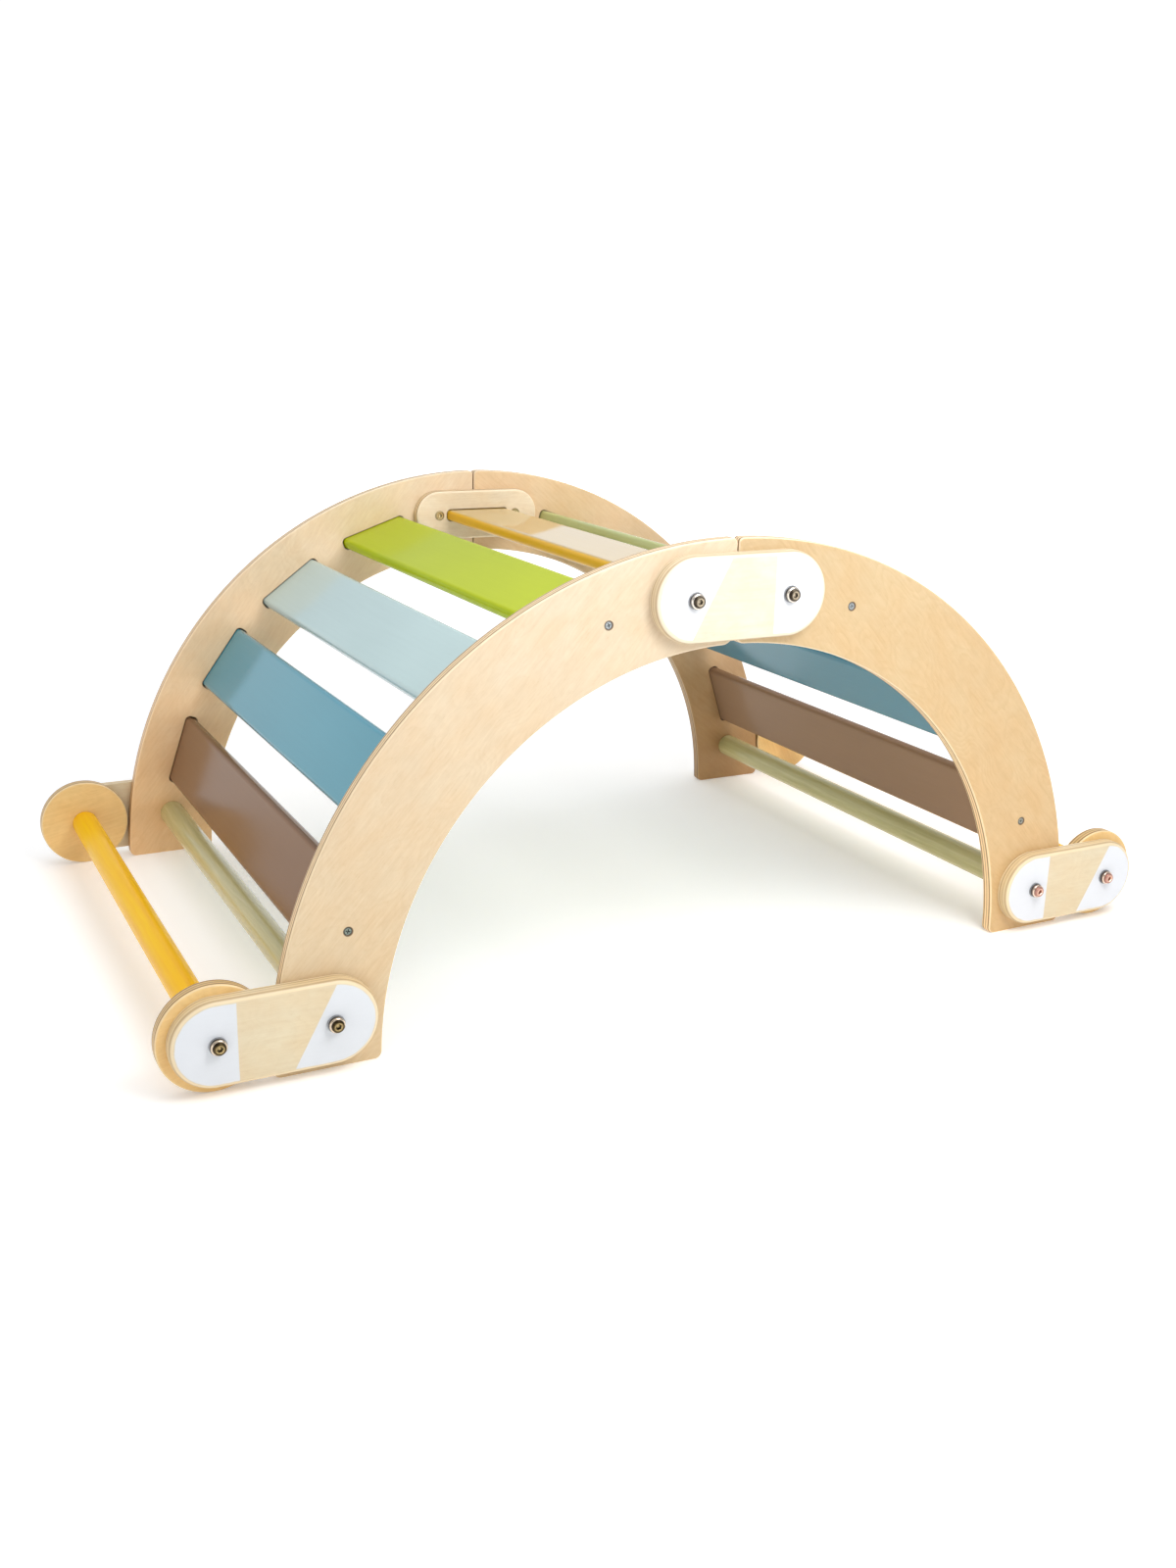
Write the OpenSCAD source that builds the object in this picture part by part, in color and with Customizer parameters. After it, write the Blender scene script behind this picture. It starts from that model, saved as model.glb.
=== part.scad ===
// Wooden rocker arch: two half rings of plywood, each made of two quarter rails
// butted at the crown, carry flat slats and two round foot dowels. Stadium shaped
// plates splice the crown, and hold a disc and a round grip dowel at each end.
// Origin: on the floor, under the crown joint, midway between front and back.
// X runs along the arch, -Y is the front, +Z is up. Millimetres.

/* [Arch] */
// Outer radius of the rails
arch_r = 500; // [450:5:550]
// Width of a rail across its ring
rail_w = 110; // [104:1:124]
// Width of the arch over the outer faces of its rails
arch_w = 705; // [500:5:900]
// Thickness of the plywood that rails, plates and discs are cut from
ply_t = 15; // [13:0.5:18]
// Rounding along the edges of the rails and discs
rail_round = 2; // [0.5:0.5:4]
// Corner radius of a rail at its foot
foot_corner_r = 8; // [3:1:12]
// Corner radius of a rail at the top of the crown joint
crown_top_corner_r = 6; // [2:1:10]
// Corner radius of a rail at the underside of the crown joint
crown_under_corner_r = 12; // [4:1:16]
// Gap between the two quarter rails at the crown
joint_gap = 1.5; // [0.5:0.5:3]

/* [Slats] */
// Number of slats on each quarter
slat_count = 4; // [3:1:4]
// Angle from the crown to the first slat of a quarter
first_slat_angle = 19.3; // [18.5:0.1:20]
// Angle from one slat to the next
slat_step = 17.4; // [17:0.1:17.8]
// Width of a slat
slat_w = 90; // [70:1:94]
// Thickness of a slat
slat_t = 15; // [12:0.5:18]
// Rounding of the long edges of a slat
slat_edge_r = 7; // [2:0.5:7.5]
// Depth of the mortise that the end of a slat sits in
mortise_depth = 8; // [4:0.5:10]
// Gap between a slat's end and its mortise, all round
mortise_gap = 0.3; // [0.2:0.05:0.6]

/* [Plates] */
// Height of the outer plates, at the crown and at the ends
plate_w = 90; // [76:1:100]
// Rounding of the outer edge of an outer plate
plate_round = 6; // [1:0.5:8]
// Height of the inner crown plates
inner_plate_w = 66; // [50:1:80]
// Rounding of the edge of an inner crown plate
inner_plate_round = 3; // [1:0.5:6]

/* [End discs and dowels] */
// Diameter of the discs, which stand on the floor
disc_d = 110; // [90:1:120]
// Gap between a disc and the outer edge of the rail beside it
disc_gap = 3.3; // [2:0.1:8]
// Diameter of the grip dowels, between the discs
grip_d = 32; // [25:1:40]
// Diameter of the foot dowels, between the rails
foot_dowel_d = 32; // [25:1:40]

/* [Bolts] */
// Diameter of the bolts
bolt_d = 8; // [6:0.5:8.5]
// Length of the crown bolts under the head
crown_bolt_len = 40; // [36:1:43]
// Length of the foot and disc bolts under the head
end_bolt_len = 50; // [42:1:53]
// Diameter of a bolt's head
head_d = 12.5; // [11:0.5:14]
// Height of a bolt's head
head_h = 6; // [5:0.5:8]
// Width across the flats of the hexagon sockets
socket_af = 5; // [4:0.5:6]
// Depth of the hexagon sockets
socket_depth = 3; // [2:0.5:4]
// Diameter of the plain washer, next to the wood
washer_d = 18; // [15:0.5:24]
// Thickness of the plain washer
washer_t = 1.6; // [1:0.1:2.5]
// Diameter of the collar washer, under the head
collar_d = 16; // [13:0.5:20]
// Thickness of the collar washer under the head
collar_t = 1.5; // [1:0.1:2.5]
// Height of the collar washer's rim, which stands round the foot of the head
collar_h = 4.5; // [3:0.1:6]
// Gap between a head and the rim round it
collar_gap = 0.15; // [0.05:0.05:0.4]
// Diameter of a sleeve nut's barrel
nut_d = 10.5; // [10:0.5:12]
// Length of a sleeve nut's barrel
nut_len = 20; // [16:0.5:24]
// Diameter of a sleeve nut's flange
nut_flange_d = 13; // [12.5:0.5:16]
// Thickness of a sleeve nut's flange
nut_flange_t = 1.5; // [1:0.1:2.5]
// Diameter of the threaded inserts in the dowels
insert_d = 12; // [10.5:0.5:14]
// Length of the threaded inserts
insert_len = 20; // [18:1:26]

/* [Slat screws] */
// Diameter of a screw's shank
screw_d = 4.5; // [3.5:0.5:5]
// Diameter of a screw's countersunk head
screw_head_d = 8.5; // [7:0.5:10]
// Length of a screw, with its head
screw_len = 45; // [30:1:60]
// Depth of a screw's cross recess
screw_recess = 1.6; // [1:0.1:2]

/* [Clearances] */
// Gap between the swivelling end plates and what they turn against
swivel_gap = 0.3; // [0.2:0.05:0.6]
// Radial clearance of the bolts in the wood and in the washers
bolt_clearance = 0.08; // [0.05:0.01:0.1]
// Radial clearance of inserts, nuts and screws in the wood, and of bolts in their threads
thread_clearance = 0.05; // [0.02:0.01:0.1]

/* [Hidden] */

// Smoothness of small round pieces, and of the large rings
$fn = 48;
ring_fn = 180;
// Amount that a cutting shape runs past the face it cuts
over = 1;

// Inner radius of the rails, and the radius of their centre line
arch_in_r = arch_r - rail_w;
mid_r = arch_r - rail_w / 2;

// Distances of the faces from the middle plane of the arch
rail_out = arch_w / 2;
rail_in = rail_out - ply_t;
inner_plate_in = rail_in - ply_t;
crown_plate_out = rail_out + ply_t;
end_plate_in = rail_out + swivel_gap;
end_plate_out = end_plate_in + ply_t;
disc_in = end_plate_in - ply_t;

// The foot bolt lies on the rail's centre line, level with the middle of the disc
axle_z = disc_d / 2;
foot_x = sqrt(pow(mid_r, 2) - pow(axle_z, 2));
disc_x = sqrt(pow(arch_r + disc_d / 2 + disc_gap, 2) - pow(axle_z, 2));

// The crown plates and the end plates are cut alike, so they share one bolt spacing
bolt_spacing = disc_x - foot_x;
crown_bolt_x = bolt_spacing / 2;
crown_z = sqrt(pow(mid_r, 2) - pow(crown_bolt_x, 2));

// A rounding is never more than half of the thickness it runs along
slat_r = min(slat_edge_r, slat_t / 2);
washer_stack = washer_t + collar_t;

// Fronts and backs, lefts and rights, as signs
FRONT = -1;
BACK = 1;
LEFT = -1;
RIGHT = 1;

// ---------- Placing ----------
// A side is drawn flat: x along the arch, y up, z outward from the middle plane.
// in_corner() stands the drawing of the front right corner up in its own corner.
module in_corner(end, side) {
    mirror([end == LEFT ? 1 : 0, 0, 0])
        mirror([0, side == BACK ? 1 : 0, 0])
            rotate([90, 0, 0])
                children();
}

// Stands up a piece that crosses the arch and is drawn round the middle plane
module across(end) {
    mirror([end == LEFT ? 1 : 0, 0, 0])
        rotate([90, 0, 0])
            children();
}

// Repeats a front right drawing in all four corners
module in_all_corners() {
    for (end = [LEFT, RIGHT], side = [FRONT, BACK])
        in_corner(end, side) children();
}

// Repeats a front right drawing in the two corners of one end
module in_end_corners(end) {
    for (side = [FRONT, BACK])
        in_corner(end, side) children();
}

// Puts children on the centre line of the ring, at the place of slat n from the crown
module at_slat(n) {
    rotate([0, 0, 90 - first_slat_angle - (n - 1) * slat_step])
        translate([mid_r, 0, 0])
            children();
}

// ---------- Profiles ----------
// Rectangle with four round corners, centred
module round_rect(w, h, r) {
    square([w - 2 * r, h], center = true);
    square([w, h - 2 * r], center = true);
    for (x = [-1, 1], y = [-1, 1])
        translate([x * (w / 2 - r), y * (h / 2 - r)])
            circle(r);
}

// Cross-section of a slat, grown all round by a gap
module slat_profile(gap = 0) {
    round_rect(slat_t + 2 * gap, slat_w + 2 * gap, slat_r + gap);
}

// Half section of a plate: outer corner rounded by r, from its middle line outward
module plate_half_profile(w, r) {
    square([w / 2 - r, ply_t]);
    square([w / 2, ply_t - r]);
    translate([w / 2 - r, ply_t - r])
        circle(r);
}

// Waste outside a corner's round, with the centre of the round at the origin
module corner_waste(r) {
    difference() {
        square(r + 2 * over);
        circle(r);
    }
}

// ---------- Rails ----------
// Waste of the four corners of a quarter rail
module rail_corner_waste() {
    foot_out_x = sqrt(pow(arch_r - foot_corner_r, 2) - pow(foot_corner_r, 2));
    foot_in_x = sqrt(pow(arch_in_r + foot_corner_r, 2) - pow(foot_corner_r, 2));
    top_x = joint_gap / 2 + crown_top_corner_r;
    top_y = sqrt(pow(arch_r - crown_top_corner_r, 2) - pow(top_x, 2));
    under_x = joint_gap / 2 + crown_under_corner_r;
    under_y = sqrt(pow(arch_in_r + crown_under_corner_r, 2) - pow(under_x, 2));
    translate([foot_out_x, foot_corner_r])
        mirror([0, 1]) corner_waste(foot_corner_r);
    translate([foot_in_x, foot_corner_r])
        mirror([1, 0]) mirror([0, 1]) corner_waste(foot_corner_r);
    translate([top_x, top_y])
        mirror([1, 0]) corner_waste(crown_top_corner_r);
    translate([under_x, under_y])
        mirror([1, 0]) mirror([0, 1]) corner_waste(crown_under_corner_r);
}

// Quarter ring with round edges, cut square at the foot and short of the crown line
module rail_blank() {
    difference() {
        translate([0, 0, rail_in + ply_t / 2])
            rotate_extrude(angle = 90, $fn = ring_fn)
                translate([mid_r, 0])
                    round_rect(rail_w, ply_t, rail_round, $fn = 32);
        translate([-over, 0, rail_in - over])
            cube([over + joint_gap / 2, arch_r + over, ply_t + 2 * over]);
        translate([0, 0, rail_in - over])
            linear_extrude(ply_t + 2 * over)
                rail_corner_waste();
    }
}

// Blind mortises for the slats, open to the inner face
module rail_mortises() {
    for (n = [1:slat_count])
        at_slat(n)
            translate([0, 0, rail_in - over])
                linear_extrude(mortise_depth + over)
                    slat_profile(mortise_gap);
}

// Holes of the crown bolt and its sleeve nut, and of the foot bolt
module rail_bolt_holes() {
    translate([crown_bolt_x, crown_z, 0]) crown_bolt_hole();
    translate([foot_x, axle_z, rail_in - over])
        cylinder(d = bolt_d + 2 * bolt_clearance, h = ply_t + 2 * over);
}

// One quarter rail, at the front right
module quarter_rail() {
    color("burlywood")
        difference() {
            rail_blank();
            rail_mortises();
            rail_bolt_holes();
            for (n = [1, slat_count])
                at_slat(n) slat_screw_body(thread_clearance);
        }
}

module quarter_rail_front_left() { in_corner(LEFT, FRONT) quarter_rail(); }
module quarter_rail_front_right() { in_corner(RIGHT, FRONT) quarter_rail(); }
module quarter_rail_back_left() { in_corner(LEFT, BACK) quarter_rail(); }
module quarter_rail_back_right() { in_corner(RIGHT, BACK) quarter_rail(); }

// ---------- Slats ----------
// One slat, n places from the crown; the first and the last are screwed
module slat(end, n, tint) {
    half_len = rail_in + mortise_depth - mortise_gap;
    screwed = n == 1 || n == slat_count;
    color(tint)
        across(end)
            at_slat(n)
                difference() {
                    translate([0, 0, -half_len])
                        linear_extrude(2 * half_len)
                            slat_profile();
                    if (screwed)
                        for (flip = [0, 1])
                            mirror([0, 0, flip]) slat_screw_body(thread_clearance);
                }
}

module slat_left_lime() { slat(LEFT, 1, "yellowgreen"); }
module slat_left_pale_blue() { slat(LEFT, 2, "lightblue"); }
module slat_left_blue() { slat(LEFT, 3, "steelblue"); }
module slat_left_mocha() { if (slat_count > 3) slat(LEFT, 4, "rosybrown"); }
module slat_right_sage() { slat(RIGHT, 1, "darkseagreen"); }
module slat_right_pale_blue() { slat(RIGHT, 2, "lightblue"); }
module slat_right_blue() { slat(RIGHT, 3, "steelblue"); }
module slat_right_mocha() { if (slat_count > 3) slat(RIGHT, 4, "rosybrown"); }

// The board over the crown joint, held by the inner crown plates
module crown_board() {
    half_len = inner_plate_in + mortise_depth - mortise_gap;
    color("gold")
        across(RIGHT)
            translate([0, crown_z, -half_len])
                linear_extrude(2 * half_len)
                    rotate(90) slat_profile();
}

// ---------- Plates ----------
// Stadium plate with its back on z = 0 and its outer edge rounded by r;
// its two bolt places are bolt_spacing apart and centred on the origin
module stadium_plate(w, r) {
    for (x = [-1, 1])
        translate([x * bolt_spacing / 2, 0, 0])
            rotate_extrude($fn = 96)
                plate_half_profile(w, r);
    rotate([90, 0, 90])
        translate([0, 0, -bolt_spacing / 2])
            linear_extrude(bolt_spacing)
                for (flip = [0, 1])
                    mirror([flip, 0]) plate_half_profile(w, r);
}

// The same plate with its two bolt holes, used at the crown and at both ends
module bolted_plate() {
    color("antiquewhite")
        difference() {
            stadium_plate(plate_w, plate_round);
            for (x = [-1, 1])
                translate([x * bolt_spacing / 2, 0, -over])
                    cylinder(d = bolt_d + 2 * bolt_clearance, h = ply_t + 2 * over);
        }
}

module crown_plate() { translate([0, crown_z, rail_out]) bolted_plate(); }
module crown_plate_front() { in_corner(RIGHT, FRONT) crown_plate(); }
module crown_plate_back() { in_corner(RIGHT, BACK) crown_plate(); }

// Inner crown plate: splices the joint from inside and holds the crown board
module crown_inner_plate() {
    color("wheat")
        difference() {
            translate([0, crown_z, rail_in])
                mirror([0, 0, 1]) stadium_plate(inner_plate_w, inner_plate_round);
            for (x = [-1, 1])
                translate([x * crown_bolt_x, crown_z, 0]) crown_bolt_hole();
            translate([0, crown_z, inner_plate_in - over])
                linear_extrude(mortise_depth + over)
                    rotate(90) slat_profile(mortise_gap);
        }
}

module crown_inner_plate_front() { in_corner(RIGHT, FRONT) crown_inner_plate(); }
module crown_inner_plate_back() { in_corner(RIGHT, BACK) crown_inner_plate(); }

// ---------- Dowels ----------
// Dowel across the arch, with a bore for a threaded insert in each end
module drilled_dowel(d, half_len) {
    bolt_room = end_bolt_len - insert_len;
    difference() {
        translate([0, 0, -half_len]) cylinder(d = d, h = 2 * half_len, $fn = 72);
        for (flip = [0, 1])
            mirror([0, 0, flip]) {
                translate([0, 0, half_len - insert_len])
                    cylinder(d = insert_d + 2 * thread_clearance, h = insert_len + over);
                translate([0, 0, half_len - insert_len - bolt_room])
                    cylinder(d = bolt_d + 2 * bolt_clearance, h = bolt_room + over);
            }
    }
}

module foot_dowel(end) {
    color("darkkhaki")
        across(end)
            translate([foot_x, axle_z, 0]) drilled_dowel(foot_dowel_d, rail_in);
}

module grip_dowel(end) {
    color("orange")
        across(end)
            translate([disc_x, axle_z, 0]) drilled_dowel(grip_d, disc_in);
}

module foot_dowel_left() { foot_dowel(LEFT); }
module foot_dowel_right() { foot_dowel(RIGHT); }
module grip_dowel_left() { grip_dowel(LEFT); }
module grip_dowel_right() { grip_dowel(RIGHT); }

// ---------- End plates and discs ----------
module end_plate() {
    translate([(foot_x + disc_x) / 2, axle_z, end_plate_in]) bolted_plate();
}

// Disc in line with the rail, clamped between the end plate and the grip dowel
module end_disc() {
    color("burlywood")
        translate([disc_x, axle_z, disc_in])
            rotate_extrude($fn = 96)
                difference() {
                    translate([0, ply_t / 2]) round_rect(disc_d, ply_t, rail_round);
                    translate([-disc_d, -over])
                        square([disc_d + bolt_d / 2 + bolt_clearance, ply_t + 2 * over]);
                }
}

module end_plate_front_left() { in_corner(LEFT, FRONT) end_plate(); }
module end_plate_back_left() { in_corner(LEFT, BACK) end_plate(); }
module end_plate_front_right() { in_corner(RIGHT, FRONT) end_plate(); }
module end_plate_back_right() { in_corner(RIGHT, BACK) end_plate(); }
module end_disc_front_left() { in_corner(LEFT, FRONT) end_disc(); }
module end_disc_back_left() { in_corner(LEFT, BACK) end_disc(); }
module end_disc_front_right() { in_corner(RIGHT, FRONT) end_disc(); }
module end_disc_back_right() { in_corner(RIGHT, BACK) end_disc(); }

// ---------- Bolts, washers, nuts and inserts ----------
// Hexagon socket, its mouth at z = 0 and its depth downward
module hex_socket() {
    translate([0, 0, -socket_depth])
        cylinder(d = socket_af / cos(30), h = socket_depth + over, $fn = 6);
}

// Socket head bolt, with the underside of its head at z = 0
module socket_bolt(len) {
    edge = head_h / 8;
    color("dimgray")
        difference() {
            union() {
                cylinder(d = head_d, h = head_h - edge);
                translate([0, 0, head_h - edge])
                    cylinder(d1 = head_d, d2 = head_d - 2 * edge, h = edge);
                translate([0, 0, -len]) cylinder(d = bolt_d, h = len);
            }
            translate([0, 0, head_h]) hex_socket();
        }
}

// Plain washer on z = 0
module washer(d, t) {
    color("silver")
        difference() {
            cylinder(d = d, h = t);
            translate([0, 0, -over])
                cylinder(d = bolt_d + 2 * bolt_clearance, h = t + 2 * over);
        }
}

// Collar washer on z = 0: a cup with a bevelled rim, which the head sits in
module collar_washer() {
    bevel = (collar_d - head_d) / 4;
    difference() {
        union() {
            washer(collar_d, collar_h - bevel);
            translate([0, 0, collar_h - bevel])
                color("silver")
                    cylinder(d1 = collar_d, d2 = collar_d - 2 * bevel, h = bevel);
        }
        translate([0, 0, collar_t])
            cylinder(d = head_d + 2 * collar_gap, h = collar_h);
    }
}

// Plain washer with the collar washer on it
module washer_pair() {
    washer(washer_d, washer_t);
    translate([0, 0, washer_t]) collar_washer();
}

// Hole of a crown bolt, widened for the sleeve nut's barrel from the inner face
module crown_bolt_hole() {
    translate([0, 0, inner_plate_in - over])
        cylinder(d = bolt_d + 2 * bolt_clearance, h = crown_plate_out - inner_plate_in);
    translate([0, 0, inner_plate_in - over])
        cylinder(d = nut_d + 2 * thread_clearance, h = nut_len + thread_clearance + over);
}

// Sleeve nut: flange on the inner plate, barrel in the wood, socket in the flange
module sleeve_nut() {
    web = 1.5;
    bore_start = socket_depth - nut_flange_t + web;
    color("goldenrod")
        translate([0, 0, inner_plate_in])
            difference() {
                union() {
                    cylinder(d = nut_d, h = nut_len);
                    translate([0, 0, -nut_flange_t]) cylinder(d = nut_flange_d, h = nut_flange_t);
                }
                translate([0, 0, bore_start])
                    cylinder(d = bolt_d + 2 * thread_clearance, h = nut_len);
                translate([0, 0, -nut_flange_t]) mirror([0, 0, 1]) hex_socket();
            }
}

// Threaded insert in a dowel's end, flush with it at height z
module threaded_insert(z) {
    color("goldenrod")
        translate([0, 0, z - insert_len])
            difference() {
                cylinder(d = insert_d, h = insert_len);
                translate([0, 0, -over])
                    cylinder(d = bolt_d + 2 * thread_clearance, h = insert_len + 2 * over);
            }
}

module at_crown_bolt() { translate([crown_bolt_x, crown_z, 0]) children(); }
module at_foot_bolt() { translate([foot_x, axle_z, 0]) children(); }
module at_disc_bolt() { translate([disc_x, axle_z, 0]) children(); }

module crown_bolts() {
    in_all_corners() at_crown_bolt()
        translate([0, 0, crown_plate_out + washer_stack]) socket_bolt(crown_bolt_len);
}

module crown_washers() {
    in_all_corners() at_crown_bolt()
        translate([0, 0, crown_plate_out]) washer_pair();
}

module crown_sleeve_nuts() {
    in_all_corners() at_crown_bolt() sleeve_nut();
}

module foot_bolts() {
    in_all_corners() at_foot_bolt()
        translate([0, 0, end_plate_out + swivel_gap + washer_stack]) socket_bolt(end_bolt_len);
}

module foot_washers() {
    in_all_corners() at_foot_bolt()
        translate([0, 0, end_plate_out + swivel_gap]) washer_pair();
}

module foot_inserts() {
    in_all_corners() at_foot_bolt() threaded_insert(rail_in);
}

module disc_bolts(end) {
    in_end_corners(end) at_disc_bolt()
        translate([0, 0, end_plate_out + washer_stack]) socket_bolt(end_bolt_len);
}

module disc_washers(end) {
    in_end_corners(end) at_disc_bolt()
        translate([0, 0, end_plate_out]) washer_pair();
}

module disc_inserts(end) {
    in_end_corners(end) at_disc_bolt() threaded_insert(disc_in);
}

module disc_bolts_left() { disc_bolts(LEFT); }
module disc_bolts_right() { disc_bolts(RIGHT); }
module disc_washers_left() { disc_washers(LEFT); }
module disc_washers_right() { disc_washers(RIGHT); }
module disc_inserts_left() { disc_inserts(LEFT); }
module disc_inserts_right() { disc_inserts(RIGHT); }

// ---------- Slat screws ----------
// Body of a countersunk screw, its head flush with the outer face of the rail
module slat_screw_body(gap = 0) {
    head_h_cone = (screw_head_d - screw_d) / 2;
    translate([0, 0, rail_out - screw_len - gap])
        cylinder(d = screw_d + 2 * gap, h = screw_len + gap - head_h_cone / 2);
    translate([0, 0, rail_out - head_h_cone])
        cylinder(d1 = screw_d + 2 * gap, d2 = screw_head_d + 2 * gap, h = head_h_cone);
}

// The same screw with its cross recess
module slat_screw() {
    slot_w = screw_head_d / 8;
    slot_len = screw_head_d * 0.6;
    color("silver")
        difference() {
            slat_screw_body();
            for (turn = [0, 90])
                translate([0, 0, rail_out - screw_recess / 2 + over / 2])
                    rotate([0, 0, turn])
                        cube([slot_len, slot_w, screw_recess + over], center = true);
        }
}

module slat_screws() {
    in_all_corners()
        for (n = [1, slat_count])
            at_slat(n) slat_screw();
}

// ---------- Drawing ----------
quarter_rail_front_left();
quarter_rail_front_right();
quarter_rail_back_left();
quarter_rail_back_right();
slat_left_lime();
slat_left_pale_blue();
slat_left_blue();
slat_left_mocha();
slat_right_sage();
slat_right_pale_blue();
slat_right_blue();
slat_right_mocha();
crown_board();
foot_dowel_left();
foot_dowel_right();
crown_plate_front();
crown_plate_back();
crown_inner_plate_front();
crown_inner_plate_back();
crown_bolts();
crown_washers();
crown_sleeve_nuts();
foot_bolts();
foot_washers();
foot_inserts();
slat_screws();
end_plate_front_left();
end_plate_back_left();
end_disc_front_left();
end_disc_back_left();
grip_dowel_left();
disc_bolts_left();
disc_washers_left();
disc_inserts_left();
end_plate_front_right();
end_plate_back_right();
end_disc_front_right();
end_disc_back_right();
grip_dowel_right();
disc_bolts_right();
disc_washers_right();
disc_inserts_right();
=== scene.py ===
"""Looks of the wooden rocker arch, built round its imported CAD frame.

Every piece stands where the frame has its node. The boards get routed edges,
mortises and grain. Geometry Nodes sweep the slats and the dowels, and set out
the bolts, washers, nuts and screws. Lengths are metres, +X runs along the
arch, and -Y is its front.
"""

import logging
import math
from dataclasses import dataclass, field, replace
from enum import Enum
from typing import Any, Callable

import bmesh
import bpy
from mathutils import Matrix, Vector
from mathutils.geometry import tessellate_polygon


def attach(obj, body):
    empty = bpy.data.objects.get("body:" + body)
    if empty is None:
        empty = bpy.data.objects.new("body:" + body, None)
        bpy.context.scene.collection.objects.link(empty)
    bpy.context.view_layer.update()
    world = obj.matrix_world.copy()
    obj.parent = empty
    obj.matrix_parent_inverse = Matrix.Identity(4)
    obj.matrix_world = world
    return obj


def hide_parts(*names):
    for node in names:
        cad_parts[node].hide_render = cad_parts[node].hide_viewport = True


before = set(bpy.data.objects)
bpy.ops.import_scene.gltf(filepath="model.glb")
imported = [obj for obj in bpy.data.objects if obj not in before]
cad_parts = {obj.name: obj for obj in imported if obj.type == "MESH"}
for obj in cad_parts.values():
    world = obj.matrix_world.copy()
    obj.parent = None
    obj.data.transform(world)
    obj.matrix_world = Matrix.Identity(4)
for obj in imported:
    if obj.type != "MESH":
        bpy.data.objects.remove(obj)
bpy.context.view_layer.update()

LOG = logging.getLogger("rocker_arch")
SHARP_ANGLE = math.radians(34)
QUARTER_TURN = math.pi / 2
UPRIGHT = (QUARTER_TURN, 0.0, 0.0)
# Mesh attribute of the turned fittings: painted shade where low, painted highlight where
# high.
TONE = "tone"
# Mesh attribute of the boards: painted shade in and round the mortises and screw mouths.
RECESS_SHADE = "grime"
EDGE = "edge"

Colour = tuple[float, float, float, float]
Loop = list[Vector]
Place = tuple[float, float, float]
Radius = float | Callable[[float], float]
Ramp = tuple[float, ...]
Ring = list[bmesh.types.BMVert]
Socket = bpy.types.NodeSocket


class Sign(Enum):
    """A choice between two opposite directions, named in the names of pieces."""

    @property
    def label(self) -> str:
        """The choice's name in small letters."""
        return self.name.lower()


class End(Sign):
    """An end of the arch, as the sign of X."""

    LEFT = -1
    RIGHT = 1


class Side(Sign):
    """A side of the arch, as the sign of Y."""

    FRONT = -1
    BACK = 1


# ---------- Sizes ----------
@dataclass(frozen=True)
class ArchSizes:
    """Sizes that the pieces share, the same as in the CAD source."""

    outer_r: float = 0.500
    rail_w: float = 0.110
    rail_out: float = 0.3525
    ply_t: float = 0.015
    joint_gap: float = 0.0015
    first_slat: float = math.radians(19.3)
    slat_step: float = math.radians(17.4)
    slat_count: int = 4
    slat_w: float = 0.090
    slat_t: float = 0.015
    slat_edge_r: float = 0.0055
    mortise_depth: float = 0.008
    axle_z: float = 0.055
    disc_gap: float = 0.0033
    swivel_gap: float = 0.0003
    bolt_r: float = 0.004
    bolt_hole_r: float = 0.00408
    nut_hole_r: float = 0.0053

    @property
    def inner_r(self) -> float:
        """Inner radius of the rails."""
        return self.outer_r - self.rail_w

    @property
    def mid_r(self) -> float:
        """Radius of the rails' centre line."""
        return self.outer_r - self.rail_w / 2

    @property
    def rail_in(self) -> float:
        """Distance of a rail's inner face from the middle plane."""
        return self.rail_out - self.ply_t

    @property
    def splice_in(self) -> float:
        """Distance of an inner crown plate's inner face from the middle plane."""
        return self.rail_in - self.ply_t

    @property
    def end_plate_in(self) -> float:
        """Distance of an end plate's back from the middle plane."""
        return self.rail_out + self.swivel_gap

    @property
    def disc_in(self) -> float:
        """Distance of a disc's inner face from the middle plane."""
        return self.end_plate_in - self.ply_t

    @property
    def foot_x(self) -> float:
        """Distance of the foot bolts from the middle of the arch."""
        return math.sqrt(self.mid_r**2 - self.axle_z**2)

    @property
    def disc_x(self) -> float:
        """Distance of the disc bolts from the middle of the arch."""
        reach = self.outer_r + self.axle_z + self.disc_gap
        return math.sqrt(reach**2 - self.axle_z**2)

    @property
    def half_spacing(self) -> float:
        """Half the distance between the two bolts of a plate."""
        return (self.disc_x - self.foot_x) / 2

    @property
    def crown_z(self) -> float:
        """Height of the crown bolts."""
        return math.sqrt(self.mid_r**2 - self.half_spacing**2)

    def slat_angle(self, number: int) -> float:
        """Angle above the floor of a slat, counted from the crown."""
        return QUARTER_TURN - self.first_slat - (number - 1) * self.slat_step


SIZES = ArchSizes()


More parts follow.
